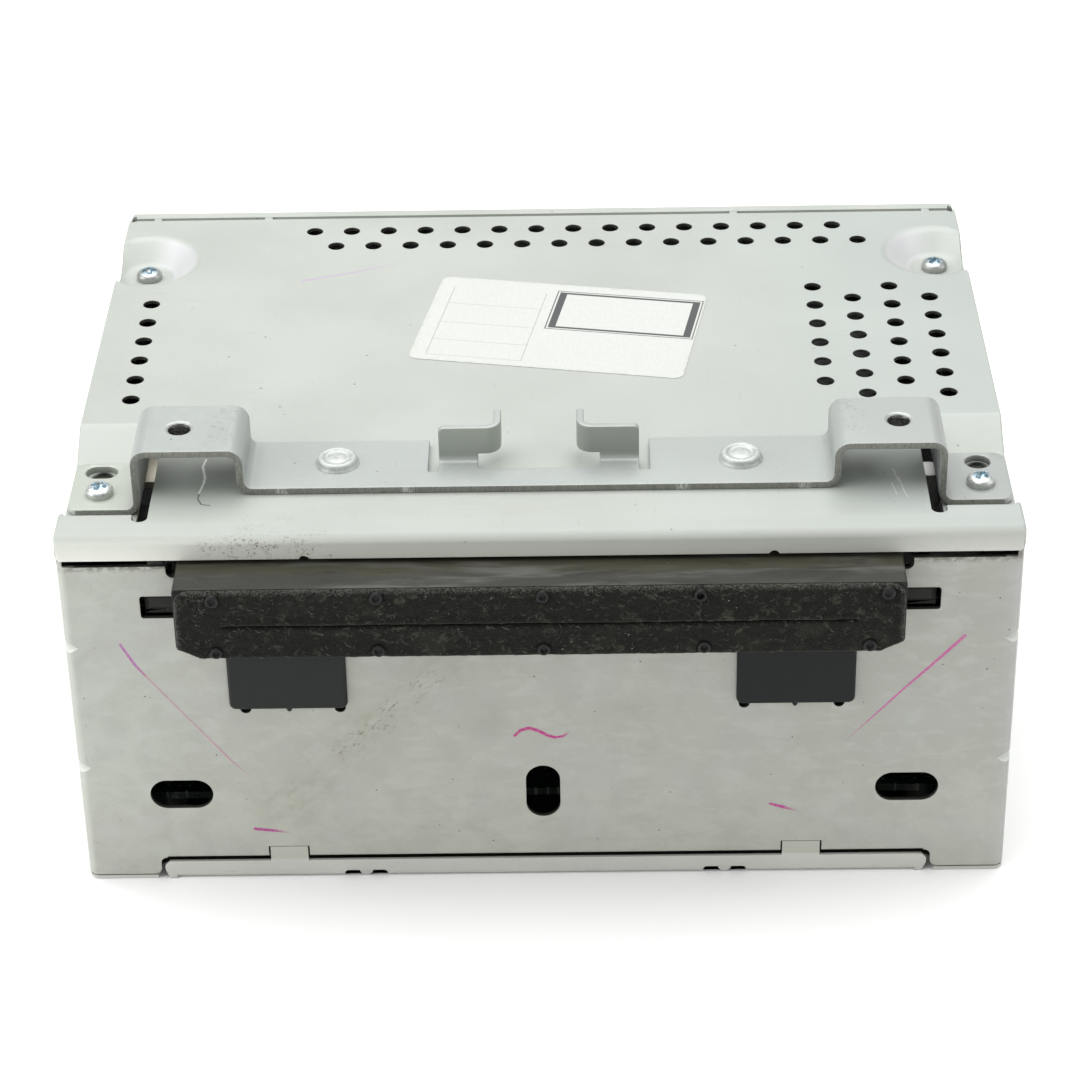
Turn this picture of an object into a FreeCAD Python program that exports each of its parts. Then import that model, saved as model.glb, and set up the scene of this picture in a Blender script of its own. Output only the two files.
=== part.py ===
import FreeCAD, Part
import math
import os

V = FreeCAD.Vector

# ---------------------------------------------------------------- driving dimensions (mm)
W = 180.0            # width of the top cover (one radio slot)
W_SIDE = 180.7       # width over the chassis side walls
Z_BOT = -0.7         # bottom face; all heights count from a plane 0.7 above it
HC = 79.0            # top of the cover plane above that plane
Y_COVER = 130.3      # rear edge of the top cover, from the front face
Y_SIDE = 132.5       # rear end of the chassis side walls
YC = 63.5            # from the front face to the middle of the overall depth
T_CH = 1.0           # chassis sheet
T_COV = 0.8          # top cover sheet
T_BOT = 0.8          # bottom cover sheet
T_STRAP = 1.4        # strap bracket sheet
PAD_Z = 74.7         # top of the lowered corner pads of the cover
PAD_X = 76.3         # inner edge of the front corner pads
SLOT_X = 73.3        # outer edge of the raised middle of the cover
HAT_Z = 88.7         # top of the bracket hats
HAT_HOLE_X = 68.2    # tapped holes on the hats
STRAP_Y0, STRAP_Y1 = 14.7, 32.1
STRAP_HOLE_Y = 23.5
SCREW_X, SCREW_Y = 84.05, 20.7
REAR_SCREW_X, REAR_SCREW_Y = 84.0, 111.5
DISH_R = 10.7        # outer radius of the dish round each rear cover screw
VENT_R = 1.75
PITCH = 8.0
SLOT_Z = 19.9        # front mounting slots
SLOT_CX = 70.5
SLOT_LEN, SLOT_W = 12.2, 6.6
MOUTH_X = 67.75      # half width of the mouth frame
MOUTH_Z0, MOUTH_Z1 = 58.0, 73.1
MOUTH_Y = -8.9       # front face of the plastic frame
FELT_T = 1.2
SLIT_Z = 65.3
LIP_HINGE = 3.7      # slit to bending line of each felt lip
DISC_IN_Z = 64.7     # underside of a disc on its way in
TT_Z = 62.3          # top of the turntable
TT_Y = 65.0          # turntable axis from the front face
DECK_Z = 60.8        # top of the mechanism deck
MECH_X = 67.0
TOP_PLATE_Z = 72.4
ROLL_Y, ROLL_Z, ROLL_R = 13.0, 60.7, 4.0
ARM_Y, ARM_Z = 27.0, 56.74       # pivot of the roller arm
CLAMP_Y, CLAMP_Z = 119.0, 69.2   # pivot of the clamp arm
CLAMP_OPEN = 4.5                 # degrees that the clamp arm stands open
MOD = 0.6
Z_ROLL, Z_PIN, Z_BIG, Z_MOT = 14, 12, 28, 8
SLED_Z = 55.5
ROD_Y1, ROD_Y2 = 74.5, 55.5
SCREW_Y_AX, SCREW_Z_AX = 80.0, 55.0
BOARD_Z = 10.0

os.makedirs("parts", exist_ok=True)
nodes = {}


# ---------------------------------------------------------------- helpers
def box(x0, x1, y0, y1, z0, z1):
    return Part.makeBox(x1 - x0, y1 - y0, z1 - z0, V(x0, y0, z0))


def cyl(r, h, p, d=(0, 0, 1)):
    return Part.makeCylinder(r, h, V(*p), V(*d))


def cone(r1, r2, h, p, d=(0, 0, 1)):
    return Part.makeCone(r1, r2, h, V(*p), V(*d))


def fuse(*s):
    a = s[0]
    if len(s) > 1:
        a = a.multiFuse(list(s[1:]))
    return a.removeSplitter()


def cut(a, *s):
    for b in s:
        a = a.cut(b)
    return a


def mirx(s):
    return s.mirror(V(0, 0, 0), V(1, 0, 0))


def path_edges(pts, radii, closed):
    """Lines joined by tangent arcs through 3-D points (all in one plane)."""
    n = len(pts)
    pts = [V(*p) for p in pts]
    first, last, edges = None, None, []
    cur = None
    idx = range(n) if closed else range(1, n - 1)
    if not closed:
        cur = pts[0]
    arcs = []
    for i in idx:
        a, b, c = pts[i - 1], pts[i], pts[(i + 1) % n]
        r = radii[i]
        u = (a - b).normalize()
        w = (c - b).normalize()
        if r <= 1e-6:
            arcs.append((b, None, b))
            continue
        half = 0.5 * u.getAngle(w)
        d = r / math.tan(half)
        bis = (u + w).normalize()
        ctr = b + bis * (r / math.sin(half))
        arcs.append((b + u * d, ctr - bis * r, b + w * d))
    if closed:
        prev = arcs[-1][2]
    else:
        prev = cur
    for s, m, e in arcs:
        if (s - prev).Length > 1e-6:
            edges.append(Part.LineSegment(prev, s).toShape())
        if m is not None:
            edges.append(Part.Arc(s, m, e).toShape())
        prev = e
    if not closed and (pts[-1] - prev).Length > 1e-6:
        edges.append(Part.LineSegment(prev, pts[-1]).toShape())
    return edges


def poly(pts, r, ext):
    """Closed polygon with rounded corners, extruded along ext."""
    if not isinstance(r, (list, tuple)):
        r = [r] * len(pts)
    wire = Part.Wire(Part.__sortEdges__(path_edges(pts, r, True)))
    return Part.Face(wire).extrude(V(*ext))


def sheet(pts2, bends, t, to3, ext):
    """Bent sheet. pts2 is the path of one face in a plane, t the thickness to its left
    (negative: to its right), bends the inside radius of each bend."""
    n = len(pts2)
    side = 1.0 if t > 0 else -1.0
    off, r_path, r_off = [], [], []
    for i in range(n):
        p = pts2[i]
        if i == 0:
            d = (pts2[1][0] - p[0], pts2[1][1] - p[1])
            l = math.hypot(*d)
            nrm = (-d[1] / l, d[0] / l)
            off.append((p[0] + nrm[0] * t, p[1] + nrm[1] * t))
            r_path.append(0); r_off.append(0)
            continue
        d0 = (p[0] - pts2[i - 1][0], p[1] - pts2[i - 1][1])
        l0 = math.hypot(*d0)
        n0 = (-d0[1] / l0, d0[0] / l0)
        if i == n - 1:
            off.append((p[0] + n0[0] * t, p[1] + n0[1] * t))
            r_path.append(0); r_off.append(0)
            continue
        d1 = (pts2[i + 1][0] - p[0], pts2[i + 1][1] - p[1])
        l1 = math.hypot(*d1)
        n1 = (-d1[1] / l1, d1[0] / l1)
        m = (n0[0] + n1[0], n0[1] + n1[1])
        k = 2.0 / (m[0] ** 2 + m[1] ** 2)
        off.append((p[0] + m[0] * k * t, p[1] + m[1] * k * t))
        turn = d0[0] * d1[1] - d0[1] * d1[0]
        r = bends[i]
        if turn * side > 0:
            r_path.append(r + abs(t)); r_off.append(r)
        else:
            r_path.append(r); r_off.append(r + abs(t))
    a = path_edges([to3(*p) for p in pts2], r_path, False)
    b = path_edges([to3(*p) for p in off], r_off, False)
    caps = [Part.LineSegment(V(*to3(*pts2[0])), V(*to3(*off[0]))).toShape(),
            Part.LineSegment(V(*to3(*pts2[-1])), V(*to3(*off[-1]))).toShape()]
    wire = Part.Wire(Part.__sortEdges__(a + b + caps))
    return Part.Face(wire).extrude(V(*ext))


def obround(cx, cy, length, width, p0, ext, plane="xz"):
    """Stadium hole, long side along the first axis of the plane."""
    h, r = length / 2.0, width / 2.0
    if plane == "xz":
        f = lambda a, b: (cx + a, p0, cy + b)
    elif plane == "zx":
        f = lambda a, b: (cx + b, p0, cy + a)
    elif plane == "xy":
        f = lambda a, b: (cx + a, cy + b, p0)
    elif plane == "yx":
        f = lambda a, b: (cx + b, cy + a, p0)
    else:
        f = lambda a, b: (p0, cx + a, cy + b)
    q = [f(-h, -r), f(h, -r), f(h, r), f(-h, r)]
    return poly(q, r * 0.999, ext)


def rrect(x0, x1, z0, z1, r, y0, dy):
    return poly([(x0, y0, z0), (x1, y0, z0), (x1, y0, z1), (x0, y0, z1)], r, (0, dy, 0))


def rrect_xy(x0, x1, y0, y1, r, z0, dz):
    return poly([(x0, y0, z0), (x1, y0, z0), (x1, y1, z0), (x0, y1, z0)], r, (0, 0, dz))


def gear(z, mod, x0, x1, cy, cz, phase, bore, slack=0.06):
    """Spur gear with axis along X."""
    rp = z * mod / 2.0
    ro = rp + mod
    rr = rp - 1.25 * mod
    half = math.pi / (2 * z) - slack / rp
    inv = lambda a: math.tan(a) - a
    a0 = math.radians(20)
    rb = rp * math.cos(a0)
    pts = []
    for i in range(z):
        c = phase + 2 * math.pi * i / z
        fl = []
        for k in range(5):
            r = max(rb, rr) + (ro - max(rb, rr)) * k / 4.0
            a = math.acos(min(1.0, rb / r))
            fl.append((r, half + inv(a0) - inv(a)))
        w0 = fl[0][1]
        dw = min(0.06, 0.4 * (math.pi / z - w0))
        pts.append((rr, c - w0 - dw))
        for r, w in fl:
            pts.append((r, c - w))
        for r, w in reversed(fl):
            pts.append((r, c + w))
        pts.append((rr, c + w0 + dw))
    q = [V(x0, cy + r * math.cos(a), cz + r * math.sin(a)) for r, a in pts]
    q.append(q[0])
    g = Part.Face(Part.makePolygon(q)).extrude(V(x1 - x0, 0, 0))
    if bore:
        g = g.cut(cyl(bore, x1 - x0 + 2, (x0 - 1, cy, cz), (1, 0, 0)))
    return g


def screw(x, y, z, d=(0, 0, -1), r_head=2.7, h_head=2.0, r_sh=1.45, l_sh=6.0):
    """Pan head screw; (x, y, z) is the seat of the head, d points into the work."""
    dv = V(*d)
    top = V(x, y, z) - dv * h_head
    body = fuse(Part.makeCylinder(r_head, h_head, V(x, y, z), dv * -1),
                Part.makeCylinder(r_sh, l_sh + 0.2, V(x, y, z) - dv * 0.2, dv))
    rim = [e for e in body.Edges if e.Closed and abs(e.Curve.Radius - r_head) < 1e-4
           and (e.Curve.Center - top).Length < 1e-3]
    if rim:
        body = body.makeFillet(min(0.6, 0.4 * h_head), rim)
    a = V(1, 0, 0) if abs(dv.x) < 0.5 else V(0, 1, 0)
    b = dv.cross(a)
    for u, w in ((a, b), (b, a)):
        p = top + dv * 0.0
        c = [p + u * 1.5 + w * 0.22, p - u * 1.5 + w * 0.22, p - u * 1.5 - w * 0.22, p + u * 1.5 - w * 0.22]
        f = Part.Face(Part.makePolygon(c + [c[0]])).extrude(dv * 0.9)
        body = body.cut(f)
    return body


def add(name, *shapes):
    out = []
    for s in shapes:
        out.extend(s.Solids)
    nodes[name] = Part.makeCompound(out) if len(out) > 1 else out[0]


# ---------------------------------------------------------------- rear pad dish (shared)
def dish_pocket(x, grow=0.0):
    c = cone(5.3, DISH_R, HC - PAD_Z, (x, REAR_SCREW_Y, PAD_Z))
    return fuse(c, cyl(DISH_R, 3.0, (x, REAR_SCREW_Y, HC)))


def dish_under(x):
    return cone(5.3, DISH_R, HC - PAD_Z, (x, REAR_SCREW_Y, PAD_Z - T_COV))


# ---------------------------------------------------------------- top cover
yz = lambda x: (lambda a, b: (x, a, b))
LIP_Z = 74.05        # lower edge of the front lip
side_path = [(-0.3, LIP_Z), (-0.3, HC), (8.9, HC), (9.8, PAD_Z), (34.0, PAD_Z), (42.0, HC), (Y_COVER, HC)]
side_bend = [0, 1.0, 0.7, 0.7, 1.5, 1.5, 0]
mid_path = [(-0.3, LIP_Z), (-0.3, HC), (Y_COVER, HC)]
mid_bend = [0, 1.0, 0]
HW = W / 2.0
HS = W_SIDE / 2.0
mid = sheet(mid_path, mid_bend, -T_COV, yz(-PAD_X), (2 * PAD_X, 0, 0))
lft = sheet(side_path, side_bend, -T_COV, yz(-HW), (HW - PAD_X + 0.001, 0, 0))
rgt = sheet(side_path, side_bend, -T_COV, yz(PAD_X - 0.001), (HW - PAD_X + 0.001, 0, 0))
cap = poly([(HW - 0.8, -0.3, LIP_Z), (HW - 0.8, 8.9, LIP_Z), (HW - 0.8, 8.9, HC), (HW - 0.8, -0.3, HC)],
           [0.0, 0.0, 0.0, 1.8], (1.1, 0, 0))
cover = fuse(mid, lft, rgt, cap, mirx(cap))
rim = [e for e in cover.Edges if abs(e.BoundBox.XMax) > HW + 0.25 and abs(e.BoundBox.XMin) > HW + 0.25
       and e.BoundBox.ZMin > HC - 0.01 and e.Length > 5]
try:
    cover = cover.makeFillet(0.7, rim)
except Exception:
    pass
# lower corners of the lip, and the rounded rear corners
for sx in (-1, 1):
    xa, xb = sx * (HW - 0.55), sx * (HW + 1.5)
    cover = cover.cut(poly([(xb, -2, LIP_Z - 1), (xa, -2, LIP_Z - 1), (xa, -2, LIP_Z), (sx * (HW + 0.05), -2, LIP_Z + 0.75), (sx * (HW + 0.31), -2, LIP_Z + 1.7), (xb, -2, LIP_Z + 1.7)],
                           [0, 0, 0, 0.8, 0, 0], (0, 12, 0)))
    c = box(*sorted((sx * (HW - 2.0), sx * (HW + 2))), Y_COVER - 2.0, Y_COVER + 2, 70, 82)
    cover = cover.cut(c.cut(cyl(2.0, 14, (sx * (HW - 2.0), Y_COVER - 2.0, 69))))
clip = box(-HW, HW, 60, 130, 60, 90)
for sx in (-1, 1):
    x = sx * REAR_SCREW_X
    cover = cover.fuse(dish_under(x).common(clip))
    cover = cover.cut(dish_pocket(x))
    # slot that relieves the step between pad and middle
    cx = sx * (SLOT_X + PAD_X) / 2.0
    cover = cover.cut(obround(cx, (5.6 + 42.2) / 2, 42.2 - 5.6, PAD_X - SLOT_X, 70, (0, 0, 12), "yx"))
    cover = cover.cut(cyl(1.7, 12, (sx * SCREW_X, SCREW_Y, 70)))
    cover = cover.cut(cyl(1.7, 12, (x, REAR_SCREW_Y, 70)))
    cover = cover.cut(cyl(2.3, 12, (sx * 84.4, STRAP_HOLE_Y + 5.1, 70)))
    cover = cover.cut(cyl(1.0, 4, (sx * 43.7, -2, 73.7), (0, 1, 0)))
    cover = cover.cut(cyl(2.05, 12, (sx * 38.5, 24.0, 70)))
    # stiffening flange inside the side wall
    xa, xb = sorted((sx * (HS - T_CH - 0.1), sx * (HS - T_CH - 0.1 - T_COV)))
    cover = cover.fuse(box(xa, xb, 48, 92, 73.0, HC - 0.3))
vents = []
for i in range(15):
    vents.append((-49.06 + PITCH * i, 124.17))
    vents.append((-44.06 + PITCH * i, 117.17))
for i in range(6):
    vents.append((-81.2, 91.68 - PITCH * i))
    vents.append((56.88, 95.74 - PITCH * i))
    vents.append((72.88, 95.74 - PITCH * i))
    vents.append((64.88, 90.74 - PITCH * i))
    vents.append((80.88, 90.74 - PITCH * i))
cover = cover.cut(Part.makeCompound([cyl(VENT_R, 6, (x, y, 76)) for x, y in vents]))
REAR_TABS = [-83.8, -59.6, 41.9, 83.7]
for x in REAR_TABS:
    cover = cover.fuse(box(x - 0.85, x + 0.85, Y_COVER - 1.0, 131.35, HC - T_COV, HC))
cover = cover.removeSplitter()
add("top_cover", cover)

# ---------------------------------------------------------------- chassis: front wall and two side walls in one sheet
xy = lambda z: (lambda a, b: (a, b, z))
Z0 = Z_BOT + T_BOT + 0.1
Z_FRONT = Z0 + 0.25      # lower edge of the two front feet
Z_MID = 4.4              # raised lower edge between them
ch = sheet([(-HS, Y_SIDE), (-HS, 0), (HS, 0), (HS, Y_SIDE)], [0, 1.0, 1.0, 0], T_CH, xy(0), (0, 0, 78.2))
ch = ch.cut(box(-95, 95, 1.0, 140, -1, Z0))
ch = ch.cut(box(-95, 95, -1, 1.0, -1, Z_FRONT))
ch = ch.cut(box(-95, 95, -1, 9.4, 73.9, 80))
ch = ch.cut(box(-95, 95, -1, 1.2, 73.75, 80))
ch = ch.cut(box(-HS + 1.3, HS - 1.3, -1, 3, 72.6, 80))
for sx in (-1, 1):
    xa, xb = sorted((sx * 85.0, sx * 95.0))
    ch = ch.cut(poly([(xa, -1, 73.9), (xa, 34.7, 73.9), (xa, 42.9, 78.2), (xa, 43, 81), (xa, -1, 81)], 0, (xb - xa, 0, 0)))
    ch = ch.cut(dish_under(sx * REAR_SCREW_X))
    ch = ch.cut(cyl(12.0, 4, (sx * REAR_SCREW_X, REAR_SCREW_Y, 78.2 - 0.001)))
# mouth opening, side windows, corner notches
ch = ch.cut(rrect(-68.1, 68.1, 57.4, 80, 0.6, -1, 3))
ch = ch.cut(rrect(-69.7, 69.7, 70.1, 84, 1.3, -1, 3))
ch = ch.cut(rrect(-75.1, 75.1, 61.1, 65.95, 0.6, -1, 3))
# mounting slots
for sx in (-1, 1):
    ch = ch.cut(obround(sx * SLOT_CX, SLOT_Z, SLOT_LEN, SLOT_W, -1, (0, 3, 0), "xz"))
ch = ch.cut(obround(-0.1, 19.75, 12.1, SLOT_W, -1, (0, 3, 0), "zx"))
for x in (38.65, 56.75):
    for sx in (-1, 1):
        ch = ch.cut(cyl(1.05, 3, (sx * x, -1, 40.1), (0, 1, 0)))
# lower edge of the front wall: raised in the middle, feet at both ends
ch = ch.cut(poly([(-75.8, -1, -2), (-75.8, -1, Z_MID), (75.8, -1, Z_MID), (75.8, -1, -2)], [0, 1.3, 1.3, 0], (0, 2.0, 0)))
for sx in (-1, 1):
    # rounded inner corner of each foot
    c = box(*sorted((sx * 75.7, sx * 77.2)), -1, 1.01, Z_FRONT - 0.1, Z_FRONT + 1.4)
    ch = ch.cut(c.cut(cyl(1.4, 4, (sx * 77.2, -2, Z_FRONT + 1.4), (0, 1, 0))))
    xa, xb = sorted((sx * 46.35, sx * 54.35))
    ch = ch.cut(box(xa, xb, -1, 2, 4, 6.95))
    # drawn-down lower arris on both sides of the tab
    for xa, xb in ((0.0, 46.35), (54.35, 74.4)):
        xa, xb = sorted((sx * xa, sx * xb))
        ch = ch.cut(poly([(xa, -0.01, Z_MID - 0.1), (xa, 0.45, Z_MID - 0.1), (xa, -0.01, Z_MID + 0.55)], 0, (xb - xa, 0, 0)))
# stiffening darts pressed into the two front bends: a V groove across the bend, with its
# metal carried on the inside; n runs inwards at 45 degrees from the sharp corner, s across it
def dart(pts, ext):
    """Prism given in (s, n, z) of the right-hand corner."""
    k = math.sqrt(0.5)
    q = [V(HS - n * k + s * k, n * k + s * k, z) for s, n, z in pts]
    e = V(k * ext[0] - k * ext[1], k * ext[0] + k * ext[1], ext[2])
    return Part.Face(Part.makePolygon(q + [q[0]])).extrude(e)


for z in (54.45, 26.5):
    back = dart([(-2.2, 2.3, z - 1.3), (0, 1.5, z - 1.3), (2.2, 2.3, z - 1.3), (1.4, 2.95, z - 1.3), (-1.4, 2.95, z - 1.3)], (0, 0, 2.6))
    vee = dart([(-4, -0.5, z + 2.62), (-4, 1.95, z), (-4, -0.5, z - 2.62)], (8, 0, 0))
    ch = ch.fuse(back).fuse(mirx(back)).cut(vee).cut(mirx(vee))
# screw tabs under the four pads
for sx in (-1, 1):
    for (ya, yb, yh, xh) in ((13.5, 33.0, SCREW_Y, SCREW_X), (103.5, 117.5, REAR_SCREW_Y, REAR_SCREW_X)):
        xa, xb = sorted((sx * 77.5, sx * (HS - 0.5)))
        tab = box(xa, xb, ya, yb, 72.9, 73.9)
        tab = tab.fuse(cyl(2.6, 2.2, (sx * xh, yh, 70.8)))
        ch = ch.fuse(tab)
        ch = ch.cut(cyl(1.5, 8, (sx * xh, yh, 68)))
    ch = ch.cut(cyl(1.25, 8, (sx * 84.4, STRAP_HOLE_Y + 5.1, 68)))
# side walls: cooling slots, screw holes, floor tabs
SIDE_SCREWS = [(40.0, 39.0), (108.0, 39.0), (126.0, 20.0), (126.0, 60.0)]
FLOOR_TABS = [(16.0, 26.0), (104.0, 114.0)]
for sx in (-1, 1):
    for y in (52, 60, 68, 76, 84, 92):
        ch = ch.cut(poly([(sx * 88, y - 1.5, 54), (sx * 88, y + 1.5, 54), (sx * 88, y + 1.5, 68), (sx * 88, y - 1.5, 68)], 1.49, (sx * 4, 0, 0)))
    for y, z in SIDE_SCREWS:
        ch = ch.cut(cyl(1.6, 6, (sx * 86, y, z), (sx, 0, 0)))
    for ya, yb in FLOOR_TABS:
        xa, xb = sorted((sx * 80.4, sx * (HS - 0.5)))
        tab = box(xa, xb, ya, yb, Z0, Z0 + 1.0)
        tab = tab.fuse(cyl(2.4, 2.0, (sx * 83.5, (ya + yb) / 2, Z0 + 0.9)))
        ch = ch.fuse(tab)
        ch = ch.cut(cyl(1.3, 8, (sx * 83.5, (ya + yb) / 2, -1)))
ch = ch.removeSplitter()
add("chassis_frame", ch)

# ---------------------------------------------------------------- bottom cover
BX = HS - 0.1
bot = rrect_xy(-BX, BX, 0.1, Y_SIDE, 1.9, Z_BOT, T_BOT)
bot = bot.cut(box(-73.0, 73.0, -1, 1.2, -2, 2))
FL_Z = Z_MID - 1.0       # top of the front flange
fl = sheet([(0, FL_Z), (0, Z_BOT), (1.6, Z_BOT)], [0, 0.5, 0], T_BOT, yz(-73.1), (146.2, 0, 0))
bot = bot.fuse(fl)
for sx in (-1, 1):
    # relief between foot and flange, and the rounded end of the flange
    bot = bot.cut(poly([(sx * 74.2, -1, Z_BOT - 1), (sx * 76.8, -1, Z_BOT - 1), (sx * 76.1, 4.2, Z_BOT - 1), (sx * 74.2, 4.2, Z_BOT - 1)], [0, 0, 0.9, 0.9], (0, 0, 3)))
    bot = bot.fuse(poly([(sx * 72.9, 0, Z_BOT + 0.02), (sx * 74.3, 0, Z_BOT + 0.02), (sx * 75.1, 0, 1.3), (sx * 75.1, 0, 2.4), (sx * 74.1, 0, FL_Z), (sx * 72.9, 0, FL_Z)],
                        [0, 0.3, 0.6, 0.6, 0.6, 0], (0, T_BOT, 0)))
    xa, xb = sorted((sx * 46.65, sx * 54.05))
    bot = bot.fuse(box(xa, xb, 0, T_BOT, FL_Z - 0.5, 6.85))
    # paired half-round notches
    bot = bot.cut(poly([(sx * 31.2, -1, Z_BOT - 1), (sx * 31.2, -1, Z_BOT + 1.5), (sx * 39.6, -1, Z_BOT + 1.5), (sx * 39.6, -1, Z_BOT - 1)], [0, 0.7, 0.7, 0], (0, 3.6, 0)))
    bot = bot.fuse(cyl(1.35, 0.7, (sx * 35.4, 0.25, Z_BOT + 1.5), (0, 1, 0)).common(box(-50, 50, 0, 2, Z_BOT + 0.2, 3)))
# floor vents, screw holes, stamped ribs
holes = []
for i in range(9):
    for j in range(4):
        holes.append(poly([(-52 + 13 * i - 4, 44 + 14 * j, -1), (-52 + 13 * i + 4, 44 + 14 * j, -1),
                           (-52 + 13 * i + 4, 46.4 + 14 * j, -1), (-52 + 13 * i - 4, 46.4 + 14 * j, -1)], 1.19, (0, 0, 3)))
bot = bot.cut(Part.makeCompound(holes))
BOARD_POSTS = [(-76, 20), (76, 20), (-76, 72), (76, 72), (-76, 118), (76, 118)]
for sx in (-1, 1):
    for ya, yb in FLOOR_TABS:
        bot = bot.cut(cyl(1.7, 4, (sx * 83.5, (ya + yb) / 2, -2)))
        bot = bot.cut(cyl(3.0, 0.5, (sx * 83.5, (ya + yb) / 2, Z_BOT - 0.02)))
for x, y in BOARD_POSTS:
    bot = bot.fuse(cone(4.2, 3.0, BOARD_Z - Z_BOT - T_BOT + 0.3, (x, y, Z_BOT + T_BOT - 0.3)))
    bot = bot.cut(cyl(1.25, 9.2, (x, y, 0.9)))
bot = bot.removeSplitter()
add("bottom_cover", bot)

# ---------------------------------------------------------------- rear panel
CON_X, CON_Z0, CON_Z1 = 21.0, 17.0, 39.0
rp = rrect(-89.9, 89.9, Z0, HC, 1.2, Y_SIDE + 0.1, 1.2)
# rim strip along its upper edge: a ridge behind the cover's rear edge, and a ledge under the cover
rim = box(-88.6, 88.6, 131.4, Y_SIDE + 0.1, HC - 1.85, HC - 0.02)
rim = rim.fuse(box(-88.6, 88.6, 128.6, 131.5, HC - 1.85, HC - T_COV - 0.05)).removeSplitter()
add("rear_rim", rim)
rp = rp.cut(rrect(-CON_X - 0.2, CON_X + 0.2, CON_Z0 - 0.2, CON_Z1 + 0.2, 0.4, 130, 6))
for i in range(12):
    for j in range(2):
        x = -66 + 12 * i
        rp = rp.cut(poly([(x - 1.5, 130, 42 + 11 * j), (x + 1.5, 130, 42 + 11 * j), (x + 1.5, 130, 51 + 11 * j), (x - 1.5, 130, 51 + 11 * j)], 1.49, (0, 6, 0)))
for sx in (-1, 1):
    xa, xb = sorted((sx * (HS - T_CH - 0.1), sx * (HS - T_CH - 1.2)))
    fl = box(xa, xb, 120.0, Y_SIDE + 0.5, 14, 66)
    for y, z in SIDE_SCREWS[2:]:
        fl = fl.fuse(cyl(2.4, 1.4, (xa if sx > 0 else xb, y, z), (-sx, 0, 0)))
        fl = fl.cut(cyl(1.3, 8, (sx * 91, y, z), (-sx, 0, 0)))
    rp = rp.fuse(fl)
rp = rp.removeSplitter()
add("rear_panel", rp)

# ---------------------------------------------------------------- strap bracket
t = T_STRAP
ux = [(-89.7, PAD_Z), (-75.5, PAD_Z), (-75.5, HAT_Z - t), (-57.0, HAT_Z - t), (-57.0, HC),
      (57.0, HC), (57.0, HAT_Z - t), (75.5, HAT_Z - t), (75.5, PAD_Z), (89.7, PAD_Z)]
strap = sheet(ux, [0] + [1.6] * 8 + [0], t, lambda a, b: (a, STRAP_Y0, b), (0, STRAP_Y1 - STRAP_Y0, 0))
ZT = HC + t
strap = strap.cut(box(-21.1, 21.1, 25.4, 40, 70, 100))
strap = strap.cut(rrect_xy(-11.6, 11.6, 21.3, 40, 0.8, 70, 30))
for sx in (-1, 1):
    strap = strap.cut(rrect_xy(*sorted((sx * 19.1, sx * 21.1)), 20.2, 45, 0.6, 70, 30))
    # end corners
    for yy, s in ((STRAP_Y0, 1), (STRAP_Y1, -1)):
        c = box(*sorted((sx * 87.2, sx * 92)), *sorted((yy - s * 2, yy + s * 2.5)), 70, 80)
        c = c.cut(cyl(2.5, 12, (sx * 87.2, yy + s * 2.5, 69)))
        strap = strap.cut(c)
    # base bend of the hook: round the lower rear edge and add the inner fillet
    xa, xb = sorted((sx * 11.6, sx * 19.1))
    strap = strap.cut(box(xa, xb, 22.4, 40, 70, 100))
    ybend = 22.4
    prof = sheet([(ybend, HC), (25.4, HC), (25.4, 87.6)], [0, 1.2, 0], t, yz(xa), (xb - xa, 0, 0))
    strap = strap.fuse(prof)
    # plate and finger
    w = 7.2
    hook = sheet([(sx * 19.1, 24.0), (sx * w, 24.0), (sx * w, 31.1)], [0, 1.6, 0], (t if sx < 0 else -t), xy(81.9), (0, 0, 87.6 - 81.9))
    strap = strap.fuse(hook)
    cc = box(*sorted((sx * 18.1, sx * 19.3)), 23, 27, 86.6, 88).cut(cyl(1.0, 8, (sx * 18.1, 20, 86.6), (0, 1, 0)))
    strap = strap.cut(cc)
    # tapped hole on the hat with its drawn collar
    hx = sx * HAT_HOLE_X
    strap = strap.fuse(cyl(3.5, 3.0, (hx, STRAP_HOLE_Y, HAT_Z - 3.9)))
    strap = strap.cut(cyl(2.1, 8, (hx, STRAP_HOLE_Y, HAT_Z - 6)))
    strap = strap.cut(cone(2.1, 2.65, 0.5, (hx, STRAP_HOLE_Y, HAT_Z - 0.45)))
    strap = strap.cut(cyl(1.7, 10, (sx * SCREW_X, SCREW_Y, 70)))
    strap = strap.cut(cyl(2.05, 6, (sx * 38.5, 24.0, 77)))
strap = strap.cut(obround(-84.5, STRAP_HOLE_Y + 5.1, 6.2, 4.4, 70, (0, 0, 10), "xy"))
strap = strap.cut(cyl(2.45, 10, (84.3, STRAP_HOLE_Y + 5.1, 70)))
strap = strap.removeSplitter()
add("strap_bracket", strap)

# ---------------------------------------------------------------- clinch buttons, screws
def button(x):
    b = cone(4.25, 3.4, 1.5, (x, 24.0, ZT))
    b = b.fuse(cyl(2.0, 3.2, (x, 24.0, HC - T_COV)))
    b = b.fuse(cyl(3.2, 0.8, (x, 24.0, HC - T_COV - 0.8)))
    b = b.cut(cone(1.2, 2.1, 0.5, (x, 24.0, ZT + 1.02)))
    return b


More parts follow.
